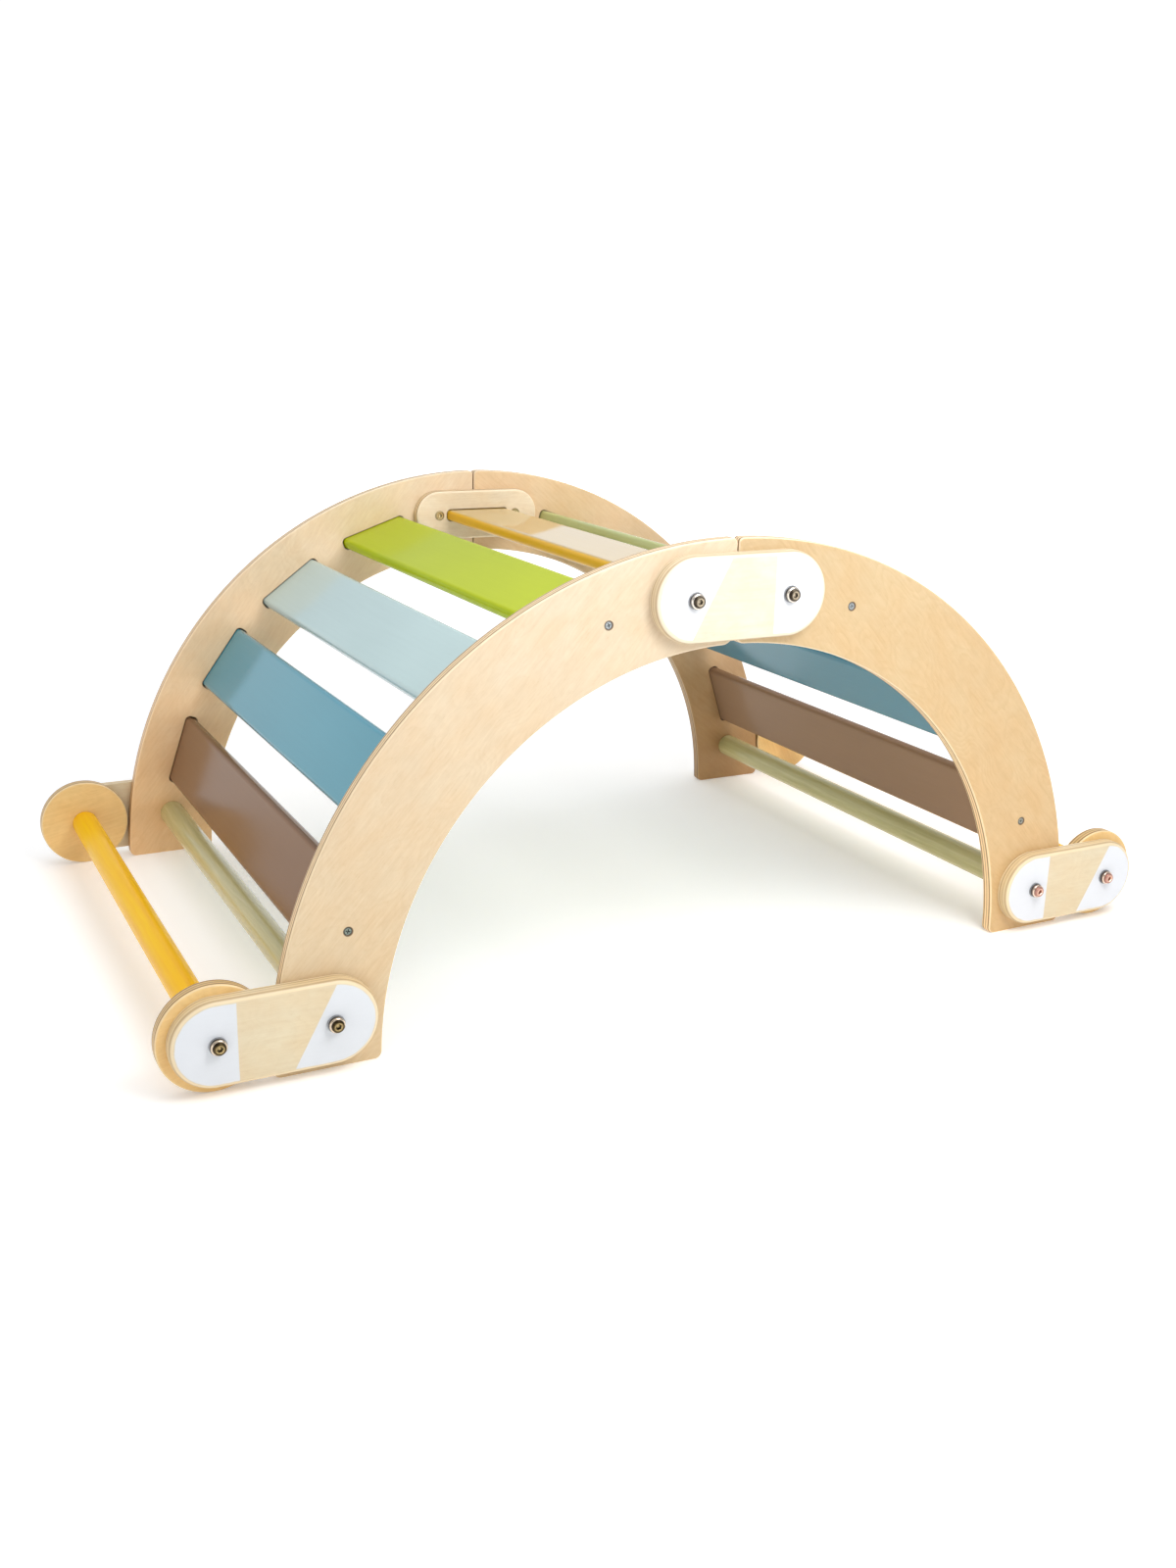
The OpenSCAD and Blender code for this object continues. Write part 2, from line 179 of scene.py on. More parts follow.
# ---------- Node trees ----------
class Graph:
    """Adds nodes to a node tree and links them."""

    def __init__(self, tree: bpy.types.NodeTree) -> None:
        """Keeps the tree that the nodes go into."""
        self.tree = tree

    def node(
        self, kind: str, values: dict[str | int, Any] | None = None, **settings: Any
    ) -> bpy.types.Node:
        """Adds a node.

        Args:
            kind: Blender's type name of the node.
            values: a constant or another node's socket for each input.
            settings: the node's own properties.

        Returns:
            The new node.
        """
        made = self.tree.nodes.new(kind)
        for name, value in settings.items():
            setattr(made, name, value)
        for key, value in (values or {}).items():
            if isinstance(value, Socket):
                self.tree.links.new(value, made.inputs[key])
            else:
                made.inputs[key].default_value = value
        return made

    def out(self, kind: str, values: dict[str | int, Any], **settings: Any) -> Socket:
        """Adds a node and returns its first result."""
        return self.node(kind, values, **settings).outputs[0]

    def math(self, operation: str, *values: Any, clamp: bool = False) -> Socket:
        """Adds a Math node and returns its result."""
        pairs = dict(enumerate(values))
        return self.out("ShaderNodeMath", pairs, operation=operation, use_clamp=clamp)

    def vector(self, operation: str, *values: Any) -> Socket:
        """Adds a Vector Math node and returns its vector."""
        pairs = dict(enumerate(values))
        return self.out("ShaderNodeVectorMath", pairs, operation=operation)

    def split(self, vector: Socket) -> tuple[Socket, ...]:
        """The parts of a vector along X, Y and Z."""
        return tuple(self.node("ShaderNodeSeparateXYZ", {0: vector}).outputs)

    def join(self, x: Any = 0.0, y: Any = 0.0, z: Any = 0.0) -> Socket:
        """A vector from its parts."""
        return self.out("ShaderNodeCombineXYZ", {0: x, 1: y, 2: z})

    def remap(
        self, value: Any, low: Any, high: Any, to_low: float = 0.0, to_high: float = 1.0
    ) -> Socket:
        """Adds a clamped Map Range node and returns its result."""
        pairs = {0: value, 1: low, 2: high, 3: to_low, 4: to_high}
        return self.out("ShaderNodeMapRange", pairs, clamp=True)

    def band(self, value: Socket, rise: Ramp, fall: Ramp) -> Socket:
        """A share that rises along one ramp of a value and falls along another."""
        return self.math("MULTIPLY", self.remap(value, *rise), self.remap(value, *fall))


@dataclass(frozen=True)
class Pattern:
    """A noise: its frequencies per metre along X, Y and Z, its detail and roughness."""

    stretch: Place
    detail: float = 2.0
    rough: float = 0.5


class ShaderGraph(Graph):
    """A node tree that shades a surface with one Principled shader."""

    NOISE_MIDDLE = 0.5

    def __init__(self, name: str) -> None:
        """Makes the material and its empty tree.

        Args:
            name: name of the material.
        """
        self.material = bpy.data.materials.new(name)
        self.material.use_nodes = True
        super().__init__(self.material.node_tree)
        self.tree.nodes.clear()

    def position(self) -> Socket:
        """Place of the shaded point, in the row frame at rest."""
        return self.node("ShaderNodeTexCoord").outputs["Object"]

    def attribute(self, name: str) -> Socket:
        """Value of one of the mesh's own attributes."""
        return self.node("ShaderNodeAttribute", attribute_name=name).outputs["Fac"]

    def turned(self, vector: Socket, angle: float) -> Socket:
        """Turns a place about Y, so that its X runs along grain at that angle above +X."""
        pairs = {"Vector": vector, "Rotation": (0.0, angle, 0.0)}
        return self.out("ShaderNodeMapping", pairs)

    def noise(self, vector: Socket, pattern: Pattern) -> Socket:
        """Noise from 0 to 1, after its pattern."""
        pairs = {
            "Vector": self.vector("MULTIPLY", vector, pattern.stretch), "Scale": 1.0,
            "Detail": pattern.detail, "Roughness": pattern.rough,
        }
        return self.out("ShaderNodeTexNoise", pairs)

    def mix(self, share: Any, first: Any, second: Any, blend: str = "MIX") -> Socket:
        """Mixes two colours.

        Args:
            share: share of the second colour, from 0 to 1.
            first: the first colour.
            second: the second colour.
            blend: Blender's name of the way that they mix.

        Returns:
            The mixed colour.
        """
        pairs = {0: share, 6: first, 7: second}
        settings = {"data_type": "RGBA", "blend_type": blend}
        return self.node("ShaderNodeMix", pairs, **settings).outputs[2]

    def tint(self, share: Any, colour: Any, by: Any) -> Socket:
        """Multiplies a share of a colour by another colour."""
        return self.mix(share, colour, by, "MULTIPLY")

    def spread(self, *amounts: tuple[Socket, float]) -> Socket:
        """Adds up noises about their middle.

        Args:
            amounts: each noise with the share that it sways the result.

        Returns:
            The clamped sum, which is the middle where every noise is.
        """
        total: Any = self.NOISE_MIDDLE
        for noise, amount in amounts:
            sway = self.math("MULTIPLY_ADD", noise, amount, -amount * self.NOISE_MIDDLE)
            total = self.math("ADD", total, sway)
        return self.math("MULTIPLY", total, 1.0, clamp=True)

    def finish(self, colour: Any, roughness: Any, height: Any = None,
               depth: float = 0.0, **shader: Any) -> bpy.types.Material:
        """Adds the shader and the bump, and ends the tree.

        Args:
            colour: base colour.
            roughness: roughness of the base.
            height: bump height, from 0 to 1.
            depth: depth of the bump in metres.
            shader: values for the shader's other inputs, by name with _ for a space.

        Returns:
            The finished material.
        """
        pairs: dict[str | int, Any] = {"Base Color": colour, "Roughness": roughness}
        pairs.update({key.replace("_", " "): value for key, value in shader.items()})
        if height is not None:
            bump = {"Height": height, "Strength": 1.0, "Distance": depth}
            pairs["Normal"] = self.out("ShaderNodeBump", bump)
        surface = {"Surface": self.out("ShaderNodeBsdfPrincipled", pairs)}
        self.node("ShaderNodeOutputMaterial", surface)
        return self.material


# ---------- Finishes ----------
def rgb(red: float, green: float, blue: float) -> Colour:
    """An opaque colour from its linear parts."""
    return (red, green, blue, 1.0)


def scaled(colour: Colour, factor: float, lift: float = 0.0) -> Colour:
    """A colour made lighter or darker, and lifted off black."""
    return rgb(*(min(1.0, part * factor + lift) for part in colour[:3]))


WHITE = rgb(1.0, 1.0, 1.0)
BLACK = rgb(0.0, 0.0, 0.0)


@dataclass(frozen=True)
class Stain:
    """A tint on the wood where a noise is high: the noise, its ramp and the full share."""

    pattern: Pattern
    low: float
    high: float
    share: float
    tint: Colour


@dataclass(frozen=True)
class BirchPly:
    """Clear-lacquered birch plywood: figured faces, and plies open on the edges."""

    name: str
    inner_face: float
    grain: float = 0.0
    pale: Colour = rgb(0.705, 0.60, 0.455)
    deep: Colour = rgb(0.59, 0.465, 0.32)
    ply: Colour = rgb(0.88, 0.68, 0.42)
    under_face: Colour = rgb(0.27, 0.15, 0.065)
    # Colour of the painted highlight along the rounded arris, partly also the lighter
    # sanded face veneer there.
    arris: Colour = rgb(0.93, 0.83, 0.66)
    # Painted light and shade near the floor: the wood is tinted towards this colour low
    # down.
    floor_warmth: Colour = rgb(1.0, 0.93, 0.78)
    figure: float = 0.42
    plies: int = 7
    gloss: float = 0.42

    # The veneer's noises, and the growth rings that they bend.
    FIBRE = Pattern((22, 30, 950), 3, 0.65)
    STREAK = Pattern((16, 20, 300), 4, 0.65)
    MOTTLE = Pattern((58, 40, 120), 4, 0.65)
    CLOUD = Pattern((15, 9, 21))
    SWELL = Pattern((10, 5, 25), 1)
    RIPPLE = Pattern((46, 12, 95))
    PORES = Pattern((500, 500, 500))
    SWELL_RINGS = 17.0
    RIPPLE_RINGS = 1.3
    LATE_RISE = (0.35, 0.92)
    LATE_FALL = (0.92, 1.0, 1.0, 0.0)
    CLOUDED = (0.30, 0.62)
    FAINT_FIGURE = 0.25
    FULL_FIGURE = 0.85
    LATE_TINT = rgb(0.915, 0.885, 0.83)

    # Broad blush, short dashes and small flecks.
    STAINS = (
        Stain(Pattern((24, 12, 30), 3, 0.55), 0.36, 0.64, 1.0, rgb(1.0, 0.955, 0.90)),
        Stain(Pattern((90, 30, 900), 2, 0.6), 0.64, 0.74, 0.35, rgb(0.80, 0.74, 0.66)),
        Stain(Pattern((150, 60, 240), 3, 0.65), 0.58, 0.76, 0.32, rgb(0.87, 0.79, 0.68)),
    )

    # The edge's noises, and its ramps in plies from the nearer face.
    WANDER = Pattern((14, 2, 14), 1)
    PLY_TONE = Pattern((60, 2400, 60), 2, 0.6)
    BLOT = Pattern((45, 500, 45), 3, 0.6)
    PLY_WANDER = 0.3
    ARRIS_RISE = (0.04, 0.22)
    ARRIS_FALL = (0.70, 0.95, 0.65, 0.0)
    CROSS_PLY = (0.42, 0.80)
    CROSS_FADE = (1.5, 3.5, 0.92, 0.66)
    TONE_SWING = (0.25, 0.75, 0.55, 1.35)
    BLOTTED = (0.35, 0.75, 0.0, 0.22)
    GLUE_RISE = (0.95, 1.20)
    GLUE_FALL = (1.60, 2.10, 1.0, 0.0)
    GLUE_SHARE = 0.80
    INNER_PLIES = (0.85, 1.0)

    PORE_DEPTH = 0.00005
    GLOSS_RISE = (0.25, 0.75)
    GLOSSIER = 0.05
    DULLER = 0.08
    # Heights over which the painted light and shade near the floor fade out.
    WARM_BELOW = (0.05, 0.48)
    # Strength and colour of the painted shade in and round the mortises and screw mouths.
    GRIME_SHARE = 0.88
    GRIME_TINT = rgb(0.16, 0.09, 0.045)

    def face(self, g: ShaderGraph, place: Socket) -> tuple[Socket, Socket]:
        """Colour and height of the rotary-cut face veneer.

        Args:
            g: the tree.
            place: the shaded point, turned so that X runs along the grain.

        Returns:
            The colour and the fine height of the wood's pores.
        """
        fibre, cloud = g.noise(place, self.FIBRE), g.noise(place, self.CLOUD)
        streak, mottle = g.noise(place, self.STREAK), g.noise(place, self.MOTTLE)
        share = g.spread((fibre, 0.45), (streak, 0.85), (mottle, 0.80), (cloud, 0.60))
        colour = g.mix(share, self.deep, self.pale)
        ripple = g.math("MULTIPLY", g.noise(place, self.RIPPLE), self.RIPPLE_RINGS)
        swell = g.noise(place, self.SWELL)
        rings = g.math("MULTIPLY_ADD", swell, self.SWELL_RINGS, ripple)
        late = g.band(g.math("FRACT", rings), self.LATE_RISE, self.LATE_FALL)
        shown = g.remap(cloud, *self.CLOUDED, self.FAINT_FIGURE * self.figure,
                        self.FULL_FIGURE * self.figure)
        colour = g.tint(g.math("MULTIPLY", late, shown), colour, self.LATE_TINT)
        for stain in self.STAINS:
            noise = g.noise(place, stain.pattern)
            laid = g.remap(noise, stain.low, stain.high, 0.0, stain.share)
            colour = g.tint(laid, colour, stain.tint)
        return colour, fibre

    def from_face(self, g: ShaderGraph, count: Socket) -> Socket:
        """How many plies a point lies from the nearer face of the board."""
        return g.math("MINIMUM", count, g.math("SUBTRACT", float(self.plies), count))

    def edge(self, g: ShaderGraph, place: Socket) -> tuple[Socket, Socket]:
        """Colour of the layered edge, and the share of it that shows.

        Args:
            g: the tree.
            place: the shaded point, turned so that X runs along the grain.

        Returns:
            The colour, and 0 in the face veneers to 1 in the inner plies and on the painted
            arris highlight.
        """
        out = g.math("SUBTRACT", g.math("ABSOLUTE", g.split(place)[1]), self.inner_face)
        count = g.math("MULTIPLY", out, self.plies / SIZES.ply_t)
        # Painted highlight along the arris, on the face veneer's rounding, partly its
        # lighter sanded wood.
        arris_highlight_share = g.band(self.from_face(g, count), self.ARRIS_RISE, self.ARRIS_FALL)
        sway = g.math("MULTIPLY_ADD", g.noise(place, self.WANDER), self.PLY_WANDER,
                      -self.PLY_WANDER / 2)
        count = g.math("ADD", count, sway)
        from_face = self.from_face(g, count)
        held = g.out("ShaderNodeClamp", {0: count, 1: 0.5, 2: self.plies - 0.5})
        swing = g.math("PINGPONG", g.math("SUBTRACT", held, 0.5), 1.0)
        cross = g.math("MULTIPLY", g.remap(swing, *self.CROSS_PLY),
                       g.remap(from_face, *self.CROSS_FADE))
        tone = g.remap(g.noise(place, self.PLY_TONE), *self.TONE_SWING)
        colour = g.mix(g.math("MULTIPLY", cross, tone), self.ply, self.under_face)
        blot = g.remap(g.noise(place, self.BLOT), *self.BLOTTED)
        colour = g.mix(blot, colour, self.under_face)
        line = g.band(from_face, self.GLUE_RISE, self.GLUE_FALL)
        colour = g.mix(g.math("MULTIPLY", line, self.GLUE_SHARE), colour, self.under_face)
        # Lays the painted arris highlight.
        colour = g.mix(arris_highlight_share, colour, self.arris)
        return colour, g.math("MAXIMUM", g.remap(from_face, *self.INNER_PLIES), arris_highlight_share)

    def aged(self, g: ShaderGraph, colour: Socket) -> Socket:
        """Paints light and shade: tints the wood by height near the floor, as painted light
        and shade, and darkens it in and round the mortises and screw mouths, as painted
        shade.

        Args:
            g: the tree.
            colour: the wood's colour before the painted light and shade.

        Returns:
            The wood's colour.
        """
        # Painted light and shade by height near the floor.
        height = g.remap(g.split(g.position())[2], *self.WARM_BELOW)
        colour = g.tint(1.0, colour, g.mix(height, self.floor_warmth, WHITE))
        # Painted shade in and round the mortises and screw mouths.
        grime = g.math("MULTIPLY", g.attribute(RECESS_SHADE), self.GRIME_SHARE)
        return g.tint(grime, colour, self.GRIME_TINT)

    def wood(self, g: ShaderGraph, place: Socket) -> tuple[Socket, Socket]:
        """Colour of the whole board, and the fine height of its pores.

        Args:
            g: the tree.
            place: the shaded point, turned so that X runs along the grain.

        Returns:
            The colour and the height.
        """
        face, fibre = self.face(g, place)
        edge, inner = self.edge(g, place)
        return self.aged(g, g.mix(inner, face, edge)), fibre

    def material(self) -> bpy.types.Material:
        """The bare board's material.

        Returns:
            The material.
        """
        g = ShaderGraph(self.name)
        place = g.turned(g.position(), self.grain)
        colour, fibre = self.wood(g, place)
        rough = g.remap(fibre, *self.GLOSS_RISE, self.gloss - self.GLOSSIER,
                        self.gloss + self.DULLER)
        height = g.spread((fibre, 0.8), (g.noise(place, self.PORES), 0.2))
        return g.finish(colour, rough, height, self.PORE_DEPTH)


@dataclass(frozen=True)
class PaintedPly(BirchPly):
    """A stadium plate: white on both ends of its face, bare birch between."""

    centre_x: float = 0.0
    centre_z: float = 0.0
    turned_over: bool = False
    face_half_w: float = 0.0402
    upright_at: float = -0.038
    slant_at: float = 0.0375
    slant: float = 0.5375
    pale: Colour = rgb(0.73, 0.69, 0.58)
    deep: Colour = rgb(0.645, 0.56, 0.43)
    ply: Colour = rgb(0.74, 0.63, 0.44)
    under_face: Colour = rgb(0.50, 0.37, 0.23)
    figure: float = 0.30
    white: Colour = rgb(0.785, 0.80, 0.825)
    paint_gloss: float = 0.36

    WOBBLE = Pattern((90, 1, 90))
    BRUSH = Pattern((60, 30, 420), 3, 0.6)
    HAZE = Pattern((30, 10, 30))
    THIN_PAINT = 0.93
    LINE_WOBBLE = 0.0006
    LINE_SOFT = (-0.00035, 0.00035)
    RIM_WOBBLE = 0.0016
    RIM_SOFT = (-0.0006, 0.0006, 1.0, 0.0)
    FACE_FROM = 0.0008
    FACE_FULL = 0.0003
    PAINT_RISE = 0.9
    PAINT_DEPTH = 0.00006

    def rim(self, g: ShaderGraph, x: Socket, z: Socket, wobble: Socket) -> Socket:
        """Share of the flat face inside the routed rim.

        Args:
            g: the tree.
            x: distance from the plate's middle along it.
            z: distance from the plate's middle across it.
            wobble: noise that wears the paint's rim.

        Returns:
            1 on the face to 0 on the rim.
        """
        past = g.math("SUBTRACT", g.math("ABSOLUTE", x), SIZES.half_spacing)
        past = g.math("MAXIMUM", past, 0.0)
        squares = g.math("ADD", g.math("POWER", past, 2.0), g.math("POWER", z, 2.0))
        worn = g.math("MULTIPLY_ADD", wobble, self.RIM_WOBBLE,
                      self.face_half_w - self.RIM_WOBBLE / 2)
        reach = g.math("SUBTRACT", g.math("SQRT", squares), worn)
        return g.remap(reach, *self.RIM_SOFT)

    def paint_share(self, g: ShaderGraph, position: Socket) -> Socket:
        """Where the white paint is.

        Args:
            g: the tree.
            position: the shaded point.

        Returns:
            The share of paint, from 0 to 1.
        """
        centre = (self.centre_x, 0.0, self.centre_z)
        x, y, z = g.split(g.vector("SUBTRACT", position, centre))
        wobble = g.noise(position, self.WOBBLE)
        turn = 1.0 if self.turned_over else -1.0
        across = g.math("MULTIPLY", g.math("MULTIPLY", x, g.math("SIGN", y)), turn)
        sway = g.math("MULTIPLY_ADD", wobble, self.LINE_WOBBLE, -self.LINE_WOBBLE / 2)
        across = g.math("ADD", across, sway)
        left = g.remap(g.math("SUBTRACT", self.upright_at, across), *self.LINE_SOFT)
        up = g.math("MULTIPLY", z, -turn)
        line = g.math("MULTIPLY_ADD", up, self.slant, self.slant_at)
        right = g.remap(g.math("SUBTRACT", across, line), *self.LINE_SOFT)
        depth = g.math("SUBTRACT", g.math("ABSOLUTE", y), self.inner_face)
        front = g.remap(depth, SIZES.ply_t - self.FACE_FROM, SIZES.ply_t - self.FACE_FULL)
        ends = g.math("MULTIPLY", g.math("MAXIMUM", left, right), self.rim(g, x, z, wobble))
        return g.math("MULTIPLY", ends, front)

    def material(self) -> bpy.types.Material:
        """The plate's material.

        Returns:
            The material.
        """
        g = ShaderGraph(self.name)
        position = g.position()
        place = g.turned(position, self.grain)
        wood, fibre = self.wood(g, place)
        paint = self.paint_share(g, position)
        brush = g.noise(place, self.BRUSH)
        tone = g.spread((brush, 0.5), (g.noise(place, self.HAZE), 0.6))
        white = g.mix(tone, scaled(self.white, self.THIN_PAINT), self.white)
        colour = g.mix(paint, wood, white)
        rough = g.remap(paint, 0.0, 1.0, self.gloss, self.paint_gloss)
        height = g.spread((fibre, 0.5), (brush, 0.3))
        height = g.math("ADD", height, g.math("MULTIPLY", paint, self.PAINT_RISE))
        return g.finish(colour, rough, height, self.PAINT_DEPTH)


@dataclass(frozen=True)
class GlossLacquer:
    """Coloured gloss lacquer on a slat, tinted along its rounded edges as painted light and
    shade.
    """

    name: str
    colour: Colour
    # Tint of the rounded edges: painted shade on the slats, painted light on the crown
    # board's edges.
    edge_tint: Colour
    gloss: float = 0.12
    shine: float = 0.5
    coat: float = 0.0

    DRIFT = Pattern((9, 4, 9))
    GRAIN = Pattern((260, 9, 260), 3, 0.6)
    SPECK = Pattern((2200, 2200, 2200), 1)
    PEEL = Pattern((330, 220, 330))
    DARK = 0.90
    LIGHT = 1.07
    LIFT = 0.006
    GLOSSIER = 0.02
    DULLER = 0.03
    PEEL_DEPTH = 0.000035
    COAT_ROUGH = 0.05
    COAT_IOR = 1.62

    def material(self) -> bpy.types.Material:
        """The lacquer's material.

        Returns:
            The material.
        """
        g = ShaderGraph(self.name)
        place = g.position()
        drift, grain = g.noise(place, self.DRIFT), g.noise(place, self.GRAIN)
        share = g.spread((drift, 0.9), (grain, 0.35), (g.noise(place, self.SPECK), 0.12))
        colour = g.mix(share, scaled(self.colour, self.DARK),
                       scaled(self.colour, self.LIGHT, self.LIFT))
        edge = g.attribute(EDGE)
        # Painted light and shade along the rounded edges.
        colour = g.tint(edge, colour, self.edge_tint)
        coat: Any = 0.0
        if self.coat:
            coat = g.math("MULTIPLY_ADD", edge, -self.coat, self.coat)
        rough = g.remap(grain, 0.2, 0.8, self.gloss - self.GLOSSIER,
                        self.gloss + self.DULLER)
        height = g.spread((g.noise(place, self.PEEL), 0.8), (grain, 0.25))
        return g.finish(colour, rough, height, self.PEEL_DEPTH, Coat_Weight=coat,
                        Coat_Roughness=self.COAT_ROUGH, Coat_IOR=self.COAT_IOR,
                        Specular_IOR_Level=self.shine)


@dataclass(frozen=True)
class DowelStain:
    """Coloured stain on a round dowel, darker in the open grain along it."""

    name: str
    colour: Colour
    deep: Colour
    light: Colour
    shine: float = 0.5

    WANDER = Pattern((3, 4, 3))
    BEND = (0.02, 0.0, 0.02)
    BROAD = Pattern((70, 2.2, 70))
    STREAK = Pattern((260, 5, 260), 3, 0.6)
    FIBRE = Pattern((1300, 24, 1300), 3, 0.65)
    DEEP_SHARE = (0.12, 0.5)
    LIGHT_SHARE = (0.5, 0.95)
    ROUGHNESS = (0.2, 0.8, 0.17, 0.27)
    GRAIN_DEPTH = 0.00008

    def material(self) -> bpy.types.Material:
        """The stain's material.

        Returns:
            The material.
        """
        g = ShaderGraph(self.name)
        place = g.position()
        bend = g.vector("MULTIPLY", g.noise(place, self.WANDER), self.BEND)
        bent = g.vector("ADD", place, bend)
        streak, fibre = g.noise(bent, self.STREAK), g.noise(place, self.FIBRE)
        share = g.spread((g.noise(bent, self.BROAD), 0.7), (streak, 0.55), (fibre, 0.4))
        colour = g.mix(g.remap(share, *self.DEEP_SHARE), self.deep, self.colour)
        colour = g.mix(g.remap(share, *self.LIGHT_SHARE), colour, self.light)
        rough = g.remap(fibre, *self.ROUGHNESS)
        height = g.spread((fibre, 0.7), (streak, 0.4))
        return g.finish(colour, rough, height, self.GRAIN_DEPTH,
                        Specular_IOR_Level=self.shine)


@dataclass(frozen=True)
class PlatedMetal:
    """Plated metal with fine scratches, darkened where its turned rings are toned down as
    painted shade, lightened where toned up as painted highlight, and tinted by the end of
    the arch as painted light and shade.
    """

    name: str
    bright: Colour
    dull: Colour
    gloss: float
    # Tints by the end of the arch: painted light on the right end's fittings, a painted
    # pinkish sheen screened over them, and painted shade on the left end's.
    right_tint: Colour = WHITE
    left_tint: Colour = WHITE
    right_blush: Colour = BLACK

    CLOUD = Pattern((220, 220, 220), 3, 0.6)
    GRIT = Pattern((2600, 900, 2600), 3, 0.6)
    AT_RIGHT = (0.25, 0.40)
    AT_LEFT = (-0.40, -0.25, 1.0, 0.0)
    TARNISH_ROUGH = 0.12
    SCRATCH_DEPTH = 0.00003

    def material(self) -> bpy.types.Material:
        """The metal's material.

        Returns:
            The material.
        """
        g = ShaderGraph(self.name)
        place = g.position()
        grit = g.noise(place, self.GRIT)
        wear = g.spread((g.noise(place, self.CLOUD), 0.45), (grit, 0.35))
        sway = g.math("SUBTRACT", wear, g.NOISE_MIDDLE)
        # The tone attribute paints shade and highlights on the turned rings.
        share = g.math("ADD", g.attribute(TONE), sway, clamp=True)
        colour = g.mix(share, self.dull, self.bright)
        along = g.split(place)[0]
        right = g.remap(along, *self.AT_RIGHT)
        # Painted sheen and light on the right end, painted shade on the left end.
        colour = g.mix(right, colour, self.right_blush, "SCREEN")
        colour = g.tint(right, colour, self.right_tint)
        colour = g.tint(g.remap(along, *self.AT_LEFT), colour, self.left_tint)
        rough = g.remap(share, 0.2, 0.8, self.gloss + self.TARNISH_ROUGH, self.gloss)
        return g.finish(colour, rough, grit, self.SCRATCH_DEPTH, Metallic=1.0)


# The four rails are one birch, but each rail's colours were fitted to its own brightness,
# so besides the boards' own tone their differences hold painted light and shade.
RAIL_BIRCH = {
    (End.LEFT, Side.FRONT): BirchPly("birch_rail_left", SIZES.rail_in, math.radians(48)),
    (End.LEFT, Side.BACK): BirchPly(
        "birch_rail_back_left", SIZES.rail_in, math.radians(52), pale=rgb(0.86, 0.72, 0.53),
        deep=rgb(0.73, 0.56, 0.375), floor_warmth=rgb(1.0, 0.82, 0.60), figure=0.4,
    ),
    (End.RIGHT, Side.FRONT): BirchPly(
        "birch_rail_right", SIZES.rail_in, math.radians(-48), pale=rgb(0.578, 0.45, 0.266),
        deep=rgb(0.492, 0.348, 0.185), floor_warmth=rgb(1.20, 1.08, 0.92), figure=0.65,
    ),
    (End.RIGHT, Side.BACK): BirchPly(
        "birch_rail_back_right", SIZES.rail_in, math.radians(-40),
        pale=rgb(0.84, 0.64, 0.41), deep=rgb(0.69, 0.48, 0.27),
        floor_warmth=rgb(0.555, 0.44, 0.305), figure=0.4,
    ),
}
INNER_PLATE_BIRCH = BirchPly("birch_inner_plate", SIZES.splice_in,
                             pale=rgb(0.86, 0.76, 0.58), deep=rgb(0.72, 0.58, 0.40))
DISC_BIRCH = BirchPly("birch_disc", SIZES.disc_in, pale=rgb(0.88, 0.66, 0.34),
                      deep=rgb(0.70, 0.49, 0.22), ply=rgb(0.68, 0.49, 0.24),
                      under_face=rgb(0.24, 0.135, 0.05))
CROWN_PAINT = PaintedPly("painted_crown_plate", SIZES.rail_out, centre_z=SIZES.crown_z,
                         turned_over=True)
END_PAINT = PaintedPly("painted_end_plate", SIZES.end_plate_in, centre_z=SIZES.axle_z)
LACQUERS = {
    "lime": GlossLacquer("lime_lacquer", rgb(0.445, 0.52, 0.001), rgb(0.90, 0.97, 0.02),
                         shine=0.05),
    "sage": GlossLacquer("sage_lacquer", rgb(0.54, 0.565, 0.245), rgb(0.95, 0.97, 0.92),
                         shine=0.2),
    "pale_blue": GlossLacquer("pale_blue_lacquer", rgb(0.465, 0.605, 0.595),
                              rgb(0.66, 0.75, 0.80)),
    "blue": GlossLacquer("blue_lacquer", rgb(0.052, 0.274, 0.361), rgb(0.78, 0.80, 0.84)),
    "mocha": GlossLacquer("mocha_lacquer", rgb(0.31, 0.188, 0.111), rgb(0.80, 0.76, 0.72),
                          gloss=0.17, shine=0.10),
}
# The crown board's yellow is darkened as painted shade on its top face, and its edge tint
# lifts the rounded edges back as painted light.
YELLOW_LACQUER = GlossLacquer("yellow_lacquer", rgb(0.505, 0.310, 0.015),
                              rgb(1.65, 1.46, 0.25), gloss=0.35, shine=0.25, coat=1.0)
SAGE_STAIN = DowelStain("sage_stain", rgb(0.56, 0.505, 0.235), rgb(0.405, 0.355, 0.135),
                        rgb(0.745, 0.67, 0.405))
YELLOW_STAIN = DowelStain("yellow_stain", rgb(0.91, 0.50, 0.001), rgb(0.80, 0.38, 0.001),
                          rgb(0.96, 0.61, 0.002), shine=0.08)
